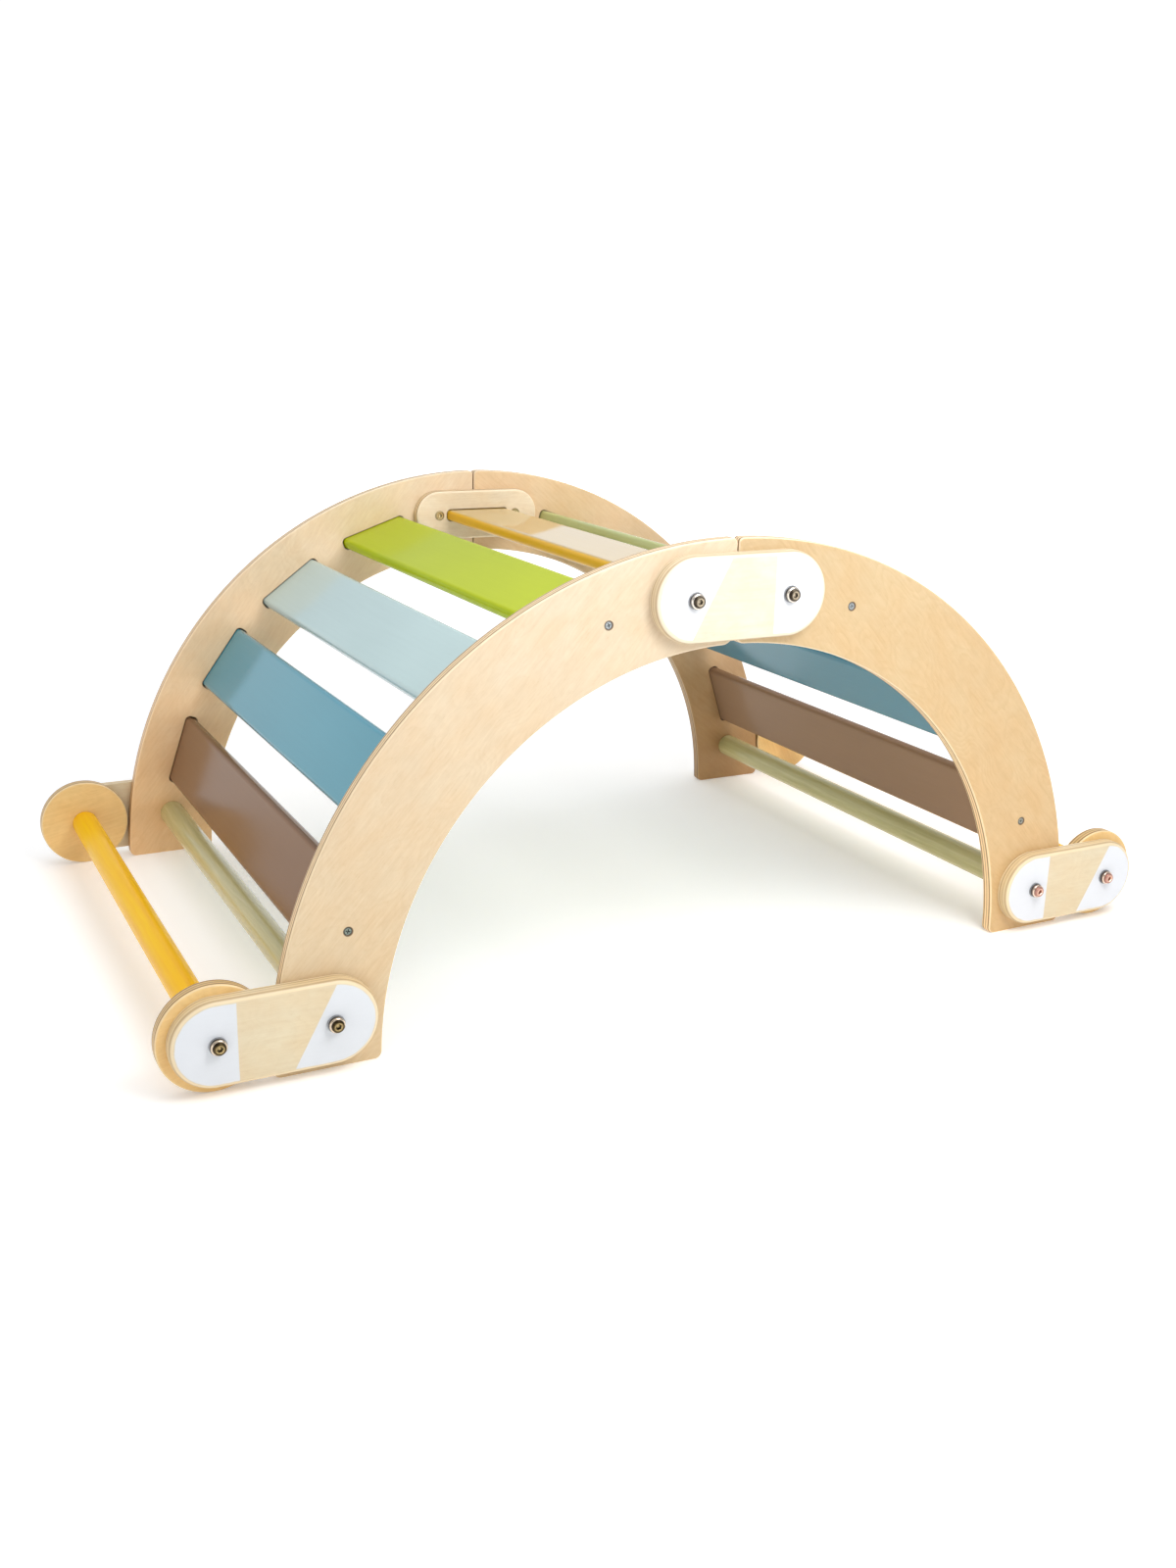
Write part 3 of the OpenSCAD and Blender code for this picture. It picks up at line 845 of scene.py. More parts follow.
# The last colours of a metal are its painted light, shade and sheen at the two ends of the
# arch.
BRONZE = PlatedMetal("bronzed_bolt", rgb(0.74, 0.62, 0.45), rgb(0.035, 0.026, 0.018), 0.24,
                     rgb(1.0, 0.80, 0.74), rgb(0.72, 0.64, 0.42), rgb(0.44, 0.27, 0.24))
ZINC = PlatedMetal("zinc_washer", rgb(0.46, 0.47, 0.49), rgb(0.10, 0.10, 0.105), 0.30)
COLLAR = PlatedMetal("nickel_collar", rgb(0.84, 0.76, 0.66), rgb(0.10, 0.09, 0.08), 0.20,
                     rgb(1.0, 0.86, 0.80), rgb(0.90, 0.82, 0.72))
BRASS = PlatedMetal("nickelled_brass", rgb(0.82, 0.68, 0.38), rgb(0.16, 0.11, 0.035), 0.26)
SCREW_ZINC = PlatedMetal("zinc_screw", rgb(0.66, 0.71, 0.73), rgb(0.06, 0.06, 0.055), 0.30,
                         rgb(0.80, 0.74, 0.62), rgb(0.50, 0.54, 0.46))


# ---------- Loops ----------
def arc(centre: Vector, radius: float, start: float, stop: float, steps: int) -> Loop:
    """Points along an arc.

    Args:
        centre: centre of the arc.
        radius: its radius.
        start: angle of the first point.
        stop: angle of the last point.
        steps: number of stretches between the points.

    Returns:
        The points, from start to stop.
    """
    angles = [start + (stop - start) * i / steps for i in range(steps + 1)]
    return [centre + radius * Vector((math.cos(a), math.sin(a))) for a in angles]


def circle(centre: Vector, radius: float, steps: int = 48) -> Loop:
    """A counterclockwise circle without a double point."""
    return arc(centre, radius, 0.0, math.tau, steps)[:-1]


def stadium(centre: Vector, half_spacing: float, radius: float, steps: int = 48) -> Loop:
    """A counterclockwise stadium, long along X.

    Args:
        centre: its centre.
        half_spacing: half the distance between the centres of its ends.
        radius: radius of its ends.
        steps: number of stretches along each end.

    Returns:
        The loop.
    """
    shift = Vector((half_spacing, 0.0))
    right = arc(centre + shift, radius, -QUARTER_TURN, QUARTER_TURN, steps)
    left = arc(centre - shift, radius, QUARTER_TURN, 3 * QUARTER_TURN, steps)
    return right + left


def round_rect(
    centre: Vector, turn: float, length: float, width: float, radius: float, steps: int = 10
) -> Loop:
    """A counterclockwise rectangle with round corners, turned about its centre.

    Args:
        centre: its centre.
        turn: angle that it is turned by.
        length: size along its own X.
        width: size along its own Y.
        radius: radius of its corners.
        steps: number of stretches along each corner.

    Returns:
        The loop.
    """
    x, y = length / 2 - radius, width / 2 - radius
    corners = [(x, -y, -90), (x, y, 0), (-x, y, 90), (-x, -y, 180)]
    spin = Matrix.Rotation(turn, 2)
    loop: Loop = []
    for cx, cy, start in corners:
        angle = math.radians(start)
        loop += arc(Vector((cx, cy)), radius, angle, angle + QUARTER_TURN, steps)
    return [centre + spin @ point for point in loop]


def inset(loop: Loop, distance: float) -> Loop:
    """Moves a counterclockwise loop inwards.

    Args:
        loop: the loop.
        distance: how far each side moves; outwards where it is below 0.

    Returns:
        The moved loop.
    """
    moved: Loop = []
    for i, point in enumerate(loop):
        back = (point - loop[i - 1]).normalized()
        ahead = (loop[(i + 1) % len(loop)] - point).normalized()
        first, second = Vector((-back.y, back.x)), Vector((-ahead.y, ahead.x))
        moved.append(point + (first + second) * distance / (1 + first.dot(second)))
    return moved


# ---------- Meshes ----------
def add_object(name: str, data: bpy.types.ID) -> bpy.types.Object:
    """Adds an object to the scene, at the origin.

    Args:
        name: its name.
        data: its mesh, light or camera.

    Returns:
        The object.
    """
    made = bpy.data.objects.new(name, data)
    bpy.context.scene.collection.objects.link(made)
    return made


def publish(
    name: str, mesh: bpy.types.Mesh, material: bpy.types.Material, body: str,
    nodes: tuple[str, ...] = (),
) -> bpy.types.Object:
    """Puts a finished mesh into the scene on its body.

    Args:
        name: name of the piece.
        mesh: its mesh, in the row frame.
        material: its finish.
        body: the CAD body that it rides on.
        nodes: the CAD nodes that it stands for.

    Returns:
        The piece.
    """
    mesh.name = name
    mesh.materials.clear()
    mesh.materials.append(material)
    mesh.shade_smooth()
    mesh.set_sharp_from_angle(angle=SHARP_ANGLE)
    piece = add_object(name, mesh)
    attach(piece, body)
    if nodes:
        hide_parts(*nodes)
    LOG.info("%s: %d faces on %s", name, len(mesh.polygons), body)
    return piece


def bridge(bm: bmesh.types.BMesh, first: Ring, second: Ring) -> None:
    """Joins two closed rings of vertices by quads."""
    for i in range(len(first)):
        bm.faces.new((first[i - 1], first[i], second[i], second[i - 1]))


def take_mesh(bm: bmesh.types.BMesh, name: str) -> bpy.types.Mesh:
    """Turns the faces outwards and takes them as a mesh.

    Args:
        bm: the faces, which are freed.
        name: name of the mesh.

    Returns:
        The mesh.
    """
    bmesh.ops.recalc_face_normals(bm, faces=bm.faces)
    mesh = bpy.data.meshes.new(name)
    bm.to_mesh(mesh)
    bm.free()
    return mesh


@dataclass
class Pocket:
    """A recess cut into one face of a board."""

    loop: Loop
    depth: float
    floor: Loop | None = None
    # Width of the ring outside the mouth over which the painted shade fades in.
    grime: float = 0.0011


@dataclass
class Board:
    """Plywood cut to an outline, with routed edges, through holes and pockets."""

    outline: Loop
    low: float
    high: float
    low_round: float
    high_round: float
    holes: list[Loop] = field(default_factory=list)
    low_pockets: list[Pocket] = field(default_factory=list)
    high_pockets: list[Pocket] = field(default_factory=list)
    round_steps: int = 5
    support: float = 0.0004

    def _profile(self) -> list[tuple[float, float]]:
        """Works out the rings of the routed edge.

        Returns:
            The inset and height of each ring, from the low face to the high one.
        """
        rings: list[tuple[float, float]] = []
        for radius, height, sign in (
            (self.low_round, self.low, 1), (self.high_round, self.high, -1)
        ):
            part = [(radius + self.support, height)]
            for i in range(self.round_steps + 1):
                angle = QUARTER_TURN * i / self.round_steps
                reach = radius * (1 - math.sin(angle))
                part.append((reach, height + sign * radius * (1 - math.cos(angle))))
            part.append((0.0, height + sign * (radius + self.support)))
            rings += part if sign > 0 else part[::-1]
        return rings

    def mesh(self, end: End, side: Side) -> bpy.types.Mesh:
        """Builds the board in its corner of the arch.

        Args:
            end: end that the drawing is turned to.
            side: side that the drawing is turned to.

        Returns:
            The mesh, with its faces outwards.
        """
        bm = bmesh.new()
        # Painted shade in and round the pockets, kept on each vertex.
        recess_shades = bm.verts.layers.float.new(RECESS_SHADE)

        def ring(loop: Loop, height: float, grime: float = 0.0) -> Ring:
            """Adds the vertices of a loop at a height, with or without painted shade.

            Args:
                loop: the loop.
                height: its distance from the middle plane.
                grime: 0 unshaded to 1 in full painted shade.

            Returns:
                The vertices.
            """
            made = []
            for point in loop:
                at = (point.x * end.value, height * side.value, point.y)
                made.append(bm.verts.new(at))
                made[-1][recess_shades] = grime
            return made

        def cap(rings: list[Ring]) -> None:
            """Fills a ring.

            Args:
                rings: the ring, and then the rings of the holes in it.
            """
            verts = [v for one in rings for v in one]
            flat = [[Vector((v.co.x, v.co.z, 0.0)) for v in one] for one in rings]
            for corners in tessellate_polygon(flat):
                bm.faces.new([verts[i] for i in corners])

        shell = [ring(inset(self.outline, d), h) for d, h in self._profile()]
        for first, second in zip(shell, shell[1:]):
            bridge(bm, first, second)
        low_rings, high_rings = [shell[0]], [shell[-1]]
        for hole in self.holes:
            low_rings.append(ring(hole, self.low))
            high_rings.append(ring(hole, self.high))
            bridge(bm, low_rings[-1], high_rings[-1])
        for rings, pockets, height, sign in (
            (low_rings, self.low_pockets, self.low, 1),
            (high_rings, self.high_pockets, self.high, -1),
        ):
            for pocket in pockets:
                # Painted shade: it fades in over a ring just outside the mouth, and the
                # mouth, walls and floor are fully darkened.
                shade_edge_ring = ring(inset(pocket.loop, -pocket.grime), height)
                mouth = ring(pocket.loop, height, 1.0)
                floor = ring(pocket.floor or pocket.loop, height + sign * pocket.depth, 1.0)
                rings.append(shade_edge_ring)
                bridge(bm, shade_edge_ring, mouth)
                bridge(bm, mouth, floor)
                cap([floor])
        cap(low_rings)
        cap(high_rings)
        return take_mesh(bm, "board")


def lathe(
    name: str, rings: list[tuple[float, Radius, float]], steps: int = 48
) -> bpy.types.Object:
    """Turns a fitting about Z from rings that may be round, hexagonal or crossed.

    Args:
        name: name of the pattern.
        rings: height, radius and tone (0 dark to 1 bright: painted shade and painted
            highlight) of each ring; a closed ring list, where the last ring joins the
            first, makes a washer.
        steps: points round each ring.

    Returns:
        A pattern object for a tree to set out, which is removed afterwards.
    """
    bm = bmesh.new()
    tones = bm.verts.layers.float.new(TONE)
    closed = rings[0] == rings[-1]
    made: list[Ring] = []
    for height, radius, tone in rings[:-1] if closed else rings:
        row = []
        for i in range(steps):
            a = math.tau * i / steps
            r = radius(a) if callable(radius) else radius
            row.append(bm.verts.new((r * math.cos(a), r * math.sin(a), height)))
            row[-1][tones] = tone
        made.append(row)
    if closed:
        made.append(made[0])
    else:
        bm.faces.new(made[0])
        bm.faces.new(made[-1])
    for first, second in zip(made, made[1:]):
        bridge(bm, first, second)
    return add_object(name, take_mesh(bm, name))


def hexagon(across_flats: float) -> Callable[[float], float]:
    """Radius of a hexagon at an angle."""
    sixth = math.pi / 3
    return lambda a: across_flats / 2 / math.cos((a + sixth / 2) % sixth - sixth / 2)


def cross(length: float, width: float) -> Callable[[float], float]:
    """Radius of a cross recess at an angle.

    Args:
        length: length of its arms, from end to end.
        width: width of its arms.

    Returns:
        The radius as a function of the angle.
    """
    along_axis = 1e-6

    def radius(angle: float) -> float:
        """Distance to the nearest wall of the cross.

        Args:
            angle: angle from one of the arms.

        Returns:
            The distance.
        """
        c, s = abs(math.cos(angle)), abs(math.sin(angle))
        c, s = max(c, s), min(c, s)
        return min(length / 2 / c, width / 2 / s if s > along_axis else length)

    return radius


# ---------- Geometry Nodes ----------
class Tree(Graph):
    """A Geometry Nodes tree with named inputs, used once for each piece."""

    SOCKETS = {
        float: "NodeSocketFloat", int: "NodeSocketInt",
        bpy.types.Object: "NodeSocketObject", bpy.types.Material: "NodeSocketMaterial",
    }

    def __init__(self, name: str, inputs: dict[str, type]) -> None:
        """Makes the tree with its inputs and its geometry output.

        Args:
            name: name of the tree.
            inputs: the type of each input by its name, beside Material.
        """
        tree = bpy.data.node_groups.new(name, "GeometryNodeTree")
        super().__init__(tree)
        for label, kind in {**inputs, "Material": bpy.types.Material}.items():
            tree.interface.new_socket(label, in_out="INPUT", socket_type=self.SOCKETS[kind])
        tree.interface.new_socket(
            "Geometry", in_out="OUTPUT", socket_type="NodeSocketGeometry"
        )
        self.given = self.node("NodeGroupInput").outputs

    def geo(self, kind: str, values: dict[str | int, Any], **settings: Any) -> Socket:
        """Adds a GeometryNode of a kind and returns its first result."""
        return self.out("GeometryNode" + kind, values, **settings)

    def end(self, geometry: Socket) -> None:
        """Ends the tree in Realize Instances and Set Material.

        Args:
            geometry: what the tree has made.
        """
        whole = self.geo("RealizeInstances", {0: geometry})
        pairs = {"Geometry": whole, "Material": self.given["Material"]}
        self.node("NodeGroupOutput", {0: self.geo("SetMaterial", pairs)})

    def grow(self, name: str, values: dict[str, Any]) -> bpy.types.Mesh:
        """Runs the tree and takes its result as a plain mesh.

        Args:
            name: name of the mesh.
            values: a value for each named input.

        Returns:
            The mesh.
        """
        carrier = add_object(name, bpy.data.meshes.new(name))
        modifier = carrier.modifiers.new(self.tree.name, "NODES")
        modifier.node_group = self.tree
        for item in self.tree.interface.items_tree:
            if item.in_out == "INPUT":
                modifier[item.identifier] = values[item.name]
        ready = carrier.evaluated_get(bpy.context.evaluated_depsgraph_get())
        mesh = bpy.data.meshes.new_from_object(ready)
        carrier.modifiers.clear()
        bpy.data.objects.remove(carrier)
        return mesh


class SlatTree(Tree):
    """Sweeps one slat across the arch, at its number's place on the ring."""

    EDGE_FROM = 0.0019
    EDGE_TO = 0.0004
    CORNER_POINTS = 10

    def __init__(self) -> None:
        """Builds the tree."""
        sizes = ("Width", "Thickness", "Edge Radius", "Half Length", "Ring Radius",
                 "First Angle", "Angle Step", "End Sign", "Facet")
        super().__init__("slat", {**dict.fromkeys(sizes, float), "Number": int})
        given = self.given
        ends = [self.join(z=self.math("MULTIPLY", given["Half Length"], sign))
                for sign in (-1.0, 1.0)]
        line = self.geo("CurvePrimitiveLine", {"Start": ends[0], "End": ends[1]})
        pairs = {"Curve": line, "Profile Curve": self.section(), "Fill Caps": True}
        bar = self.geo("CurveToMesh", pairs)
        out = self.join(x=given["Ring Radius"])
        bar = self.geo("Transform", {0: bar, "Translation": out})
        past = self.math("SUBTRACT", given["Number"], 1.0)
        turn = self.math("MULTIPLY_ADD", past, given["Angle Step"], given["First Angle"])
        turn = self.math("MULTIPLY", turn, given["End Sign"])
        spin = self.join(z=self.math("SUBTRACT", QUARTER_TURN, turn))
        bar = self.geo("Transform", {0: bar, "Rotation": spin})
        self.end(self.geo("Transform", {0: bar, "Rotation": UPRIGHT}))

    def section(self) -> Socket:
        """Draws the slat's rounded section, which stores how near an edge each point is.

        Returns:
            The section, as a curve.
        """
        given = self.given
        pairs = {"Width": given["Thickness"], "Height": given["Width"]}
        section = self.geo("CurvePrimitiveQuadrilateral", pairs)
        pairs = {"Curve": section, "Count": self.CORNER_POINTS,
                 "Radius": given["Edge Radius"]}
        section = self.geo("FilletCurve", pairs, mode="POLY")
        pairs = {"Curve": section, "Length": given["Facet"]}
        section = self.geo("ResampleCurve", pairs, mode="LENGTH")
        place = self.node("GeometryNodeInputPosition").outputs[0]
        off = self.math("ABSOLUTE", self.split(place)[0])
        face = self.math("MULTIPLY", given["Thickness"], 0.5)
        edge = self.remap(off, self.math("SUBTRACT", face, self.EDGE_FROM),
                          self.math("SUBTRACT", face, self.EDGE_TO), 1.0, 0.0)
        pairs = {"Geometry": section, "Name": EDGE, "Value": edge}
        return self.geo("StoreNamedAttribute", pairs, data_type="FLOAT", domain="POINT")


class DowelTree(Tree):
    """Sweeps one round dowel across the arch, its ends lightly chamfered."""

    def __init__(self) -> None:
        """Builds the tree."""
        sizes = ("Radius", "Half Length", "Chamfer", "X", "Z")
        super().__init__("dowel", {**dict.fromkeys(sizes, float), "Sides": int})
        given = self.given
        pairs = {"Resolution": given["Sides"], "Radius": given["Radius"]}
        section = self.geo("CurvePrimitiveCircle", pairs)
        inner = self.math("SUBTRACT", given["Half Length"], given["Chamfer"])
        reach = ((-1.0, given["Half Length"]), (-1.0, inner), (1.0, inner),
                 (1.0, given["Half Length"]))
        points = [self.join(z=self.math("MULTIPLY", size, sign)) for sign, size in reach]
        first, middle, last = (
            self.geo("CurvePrimitiveLine", {"Start": start, "End": stop})
            for start, stop in zip(points, points[1:])
        )
        index = self.node("GeometryNodeInputIndex").outputs[0]
        parts = [
            self.geo("CurveToMesh", {"Curve": middle, "Profile Curve": section}),
            self.chamfer(first, section, self.math("SUBTRACT", 1.0, index)),
            self.chamfer(last, section, index),
        ]
        joined = self.node("GeometryNodeJoinGeometry")
        for part in reversed(parts):
            self.tree.links.new(part, joined.inputs[0])
        place = self.join(x=given["X"], z=given["Z"])
        pairs = {0: joined.outputs[0], "Translation": place, "Rotation": UPRIGHT}
        self.end(self.geo("Transform", pairs))

    def chamfer(self, line: Socket, section: Socket, small: Socket) -> Socket:
        """Sweeps a chamfered end.

        Args:
            line: the end's own stretch of the middle line.
            section: the dowel's circle.
            small: 1 where the stretch is chamfered, 0 where it is full.

        Returns:
            The capped end.
        """
        radius = self.given["Radius"]
        left = self.math("SUBTRACT", radius, self.given["Chamfer"])
        shrink = self.math("SUBTRACT", self.math("DIVIDE", left, radius), 1.0)
        scale = self.math("ADD", 1.0, self.math("MULTIPLY", small, shrink))
        return self.geo("CurveToMesh", {
            "Curve": line, "Profile Curve": section, "Fill Caps": True, "Scale": scale,
        })


class FastenerTree(Tree):
    """Sets out a fitting on both sides of the arch, pointing outwards."""

    def __init__(self) -> None:
        """Builds the tree."""
        sizes = ("Centre X", "Half Span", "Height", "Outward")
        kinds = {**dict.fromkeys(sizes, float), "Count": int, "Seed": int,
                 "Fitting": bpy.types.Object}
        super().__init__("fasteners", kinds)
        given = self.given
        index = self.node("GeometryNodeInputIndex").outputs[0]
        odd = self.math("MODULO", index, 2.0)
        side = self.math("MULTIPLY_ADD", odd, 2.0, -1.0)
        later = self.math("FLOOR", self.math("DIVIDE", index, 2.0))
        end = self.math("MULTIPLY_ADD", later, 2.0, -1.0)
        x = self.math("MULTIPLY_ADD", end, given["Half Span"], given["Centre X"])
        y = self.math("MULTIPLY", side, given["Outward"])
        points = self.geo("Points", {"Count": given["Count"]})
        pairs = {"Geometry": points, "Position": self.join(x, y, given["Height"])}
        points = self.geo("SetPosition", pairs)
        pattern = self.node("GeometryNodeObjectInfo", {"Object": given["Fitting"]})
        lean = self.join(x=self.math("MULTIPLY", side, -QUARTER_TURN))
        pairs = {"Points": points, "Instance": pattern.outputs["Geometry"],
                 "Rotation": lean}
        rows = self.geo("InstanceOnPoints", pairs)
        chance = self.node("FunctionNodeRandomValue", {"Seed": given["Seed"], 3: math.tau},
                           data_type="FLOAT")
        pairs = {"Instances": rows, "Rotation": self.join(z=chance.outputs[1]),
                 "Local Space": True}
        self.end(self.geo("RotateInstances", pairs))


# ---------- Sub-assemblies ----------
@dataclass
class Rails:
    """The four quarter rails, butted at the crown."""

    foot_corner_r: float = 0.008
    crown_top_r: float = 0.006
    crown_under_r: float = 0.012
    edge_round: float = 0.0022
    arc_steps: int = 120
    corner_steps: int = 8
    under_steps: int = 10
    mortise_slack: float = 0.0006
    mortise_end_slack: float = 0.0014
    screw_mouth_r: float = 0.0049
    screw_mouth_depth: float = 0.0030
    screw_mouth_taper: float = 0.55
    screw_mouth_steps: int = 32
    # Width of the painted shade ring round each screw mouth.
    screw_grime: float = 0.0005

    def outline(self) -> Loop:
        """Draws the quarter rail of the right end, flat.

        Returns:
            Its outline.
        """
        r_out, r_in = SIZES.outer_r, SIZES.inner_r
        foot, top, under = self.foot_corner_r, self.crown_top_r, self.crown_under_r
        origin = Vector((0.0, 0.0))
        foot_out = Vector((math.sqrt((r_out - foot) ** 2 - foot**2), foot))
        foot_in = Vector((math.sqrt((r_in + foot) ** 2 - foot**2), foot))
        top_x = SIZES.joint_gap / 2 + top
        top_at = Vector((top_x, math.sqrt((r_out - top) ** 2 - top_x**2)))
        under_x = SIZES.joint_gap / 2 + under
        under_at = Vector((under_x, math.sqrt((r_in + under) ** 2 - under_x**2)))
        turns = [math.atan2(p.y, p.x) for p in (foot_out, top_at, under_at, foot_in)]
        half = math.pi
        loop = arc(foot_out, foot, -half / 2, turns[0], self.corner_steps)[:-1]
        loop += arc(origin, r_out, turns[0], turns[1], self.arc_steps)
        loop += arc(top_at, top, turns[1], half, self.corner_steps)[1:]
        loop += arc(under_at, under, half, half + turns[2], self.under_steps)[:-1]
        loop += arc(origin, r_in, turns[2], turns[3], self.arc_steps)
        loop += arc(foot_in, foot, half + turns[3], 1.5 * half, self.corner_steps)[1:]
        return loop

    def screw_mouth(self, centre: Vector) -> Pocket:
        """The countersink of a slat screw.

        Args:
            centre: middle of the screw's head.

        Returns:
            The recess.
        """
        steps = self.screw_mouth_steps
        mouth = circle(centre, self.screw_mouth_r, steps)
        floor = circle(centre, self.screw_mouth_r * self.screw_mouth_taper, steps)
        return Pocket(mouth, self.screw_mouth_depth, floor, self.screw_grime)

    def board(self) -> Board:
        """Cuts the rail, with its mortises, bolt holes and screw holes.

        Returns:
            The board, drawn at the right.
        """
        mortises, mouths = [], []
        for number in range(1, SIZES.slat_count + 1):
            angle = SIZES.slat_angle(number)
            centre = Vector((math.cos(angle), math.sin(angle))) * SIZES.mid_r
            loop = round_rect(
                centre, angle, SIZES.slat_t + 2 * self.mortise_slack,
                SIZES.slat_w + 2 * self.mortise_end_slack,
                SIZES.slat_edge_r + self.mortise_slack,
            )
            mortises.append(Pocket(loop, SIZES.mortise_depth))
            if number in (1, SIZES.slat_count):
                mouths.append(self.screw_mouth(centre))
        crown = circle(Vector((SIZES.half_spacing, SIZES.crown_z)), SIZES.nut_hole_r)
        foot = circle(Vector((SIZES.foot_x, SIZES.axle_z)), SIZES.bolt_hole_r)
        return Board(
            self.outline(), SIZES.rail_in, SIZES.rail_out, self.edge_round,
            self.edge_round, [crown, foot], mortises, mouths,
        )

    def build(self) -> None:
        """Makes the four rails."""
        board = self.board()
        for (end, side), birch in RAIL_BIRCH.items():
            name = f"{side.label}_{end.label}"
            publish(f"rail_{name}", board.mesh(end, side), birch.material(), "arch",
                    (f"quarter_rail_{name}",))


@dataclass
class Slats:
    """The eight flat slats and the crown board."""

    mortise_gap: float = 0.0003
    facet: float = 0.0012
    tree: SlatTree = field(default_factory=SlatTree)

    ROWS = {
        End.LEFT: ("lime", "pale_blue", "blue", "mocha"),
        End.RIGHT: ("sage", "pale_blue", "blue", "mocha"),
    }
    # Shaded copies of the lacquers: the left mocha slat and the right blue slat are
    # darkened as painted shade.
    SHADES = {
        (End.LEFT, "mocha"): rgb(0.238, 0.129, 0.066),
        (End.RIGHT, "blue"): rgb(0.058, 0.219, 0.298),
    }

    def add(self, name: str, node: str, lacquer: GlossLacquer, slot: str,
            values: dict[str, Any]) -> None:
        """Sweeps one slat and publishes it.

        Args:
            name: name of the piece.
            node: the CAD node that it stands for.
            lacquer: its finish.
            slot: not used.
            values: the tree's inputs for its number, end, length and ring.
        """
        material = lacquer.material()
        mesh = self.tree.grow(name, {
            "Width": SIZES.slat_w, "Thickness": SIZES.slat_t,
            "Edge Radius": SIZES.slat_edge_r, "Angle Step": SIZES.slat_step,
            "Facet": self.facet, "Material": material, **values,
        })
        publish(name, mesh, material, "arch", (node,))

    def build(self) -> None:
        """Makes the slats, and the board over the crown joint."""
        tenon = SIZES.mortise_depth - self.mortise_gap
        for end, row in self.ROWS.items():
            for number, colour in enumerate(row, 1):
                plain = LACQUERS[colour]
                # The slat's colour, darkened as painted shade where listed.
                shaded_colour = self.SHADES.get((end, colour), plain.colour)
                lacquer = replace(plain, name=f"{plain.name}_{end.label}", colour=shaded_colour)
                name, node = f"{colour}_slat_{end.label}", f"slat_{end.label}_{colour}"
                self.add(name, node, lacquer, plain.name, {
                    "Number": number, "End Sign": float(end.value),
                    "Half Length": SIZES.rail_in + tenon, "Ring Radius": SIZES.mid_r,
                    "First Angle": SIZES.first_slat,
                })
        self.add("yellow_crown_board", "crown_board", YELLOW_LACQUER, YELLOW_LACQUER.name, {
            "Number": 1, "End Sign": 1.0, "Half Length": SIZES.splice_in + tenon,
            "Ring Radius": SIZES.crown_z, "First Angle": 0.0,
        })


@dataclass
class Dowels:
    """The sage foot dowels and the yellow grip dowels."""

    radius: float = 0.016
    chamfer: float = 0.0008
    sides: int = 96
    weld_within: float = 1e-6
    seam_within: float = 1e-5
    tree: DowelTree = field(default_factory=DowelTree)

    def weld(self, mesh: bpy.types.Mesh, half: float) -> None:
        """Joins a dowel's three sweeps and takes out the caps between them.

        Args:
            mesh: the dowel's mesh.
            half: half of its length.
        """
        bm = bmesh.new()
        bm.from_mesh(mesh)
        bmesh.ops.remove_doubles(bm, verts=bm.verts, dist=self.weld_within)
        seam = half - self.chamfer
        inside = [
            face for face in bm.faces
            if len(face.verts) == self.sides
            and abs(abs(face.calc_center_median().y) - seam) < self.seam_within
        ]
        bmesh.ops.delete(bm, geom=inside, context="FACES_ONLY")
        bmesh.ops.recalc_face_normals(bm, faces=bm.faces)
        bm.to_mesh(mesh)
        bm.free()

    def build(self) -> None:
        """Makes the four dowels."""
        sage, yellow = SAGE_STAIN.material(), YELLOW_STAIN.material()
        for end in End:
            grip = (f"{end.label}_end_grip", SIZES.disc_x, SIZES.disc_in)
            for colour, kind, finish, (body, x, half) in (
                ("sage", "foot_dowel", sage, ("arch", SIZES.foot_x, SIZES.rail_in)),
                ("yellow", "grip_dowel", yellow, grip),
            ):
                name = f"{colour}_{kind}_{end.label}"
                mesh = self.tree.grow(name, {
                    "Radius": self.radius, "Half Length": half, "Chamfer": self.chamfer,
                    "X": x * end.value, "Z": SIZES.axle_z, "Sides": self.sides,
                    "Material": finish,
                })
                self.weld(mesh, half)
                publish(name, mesh, finish, body,
                        (f"{kind}_{end.label}",))


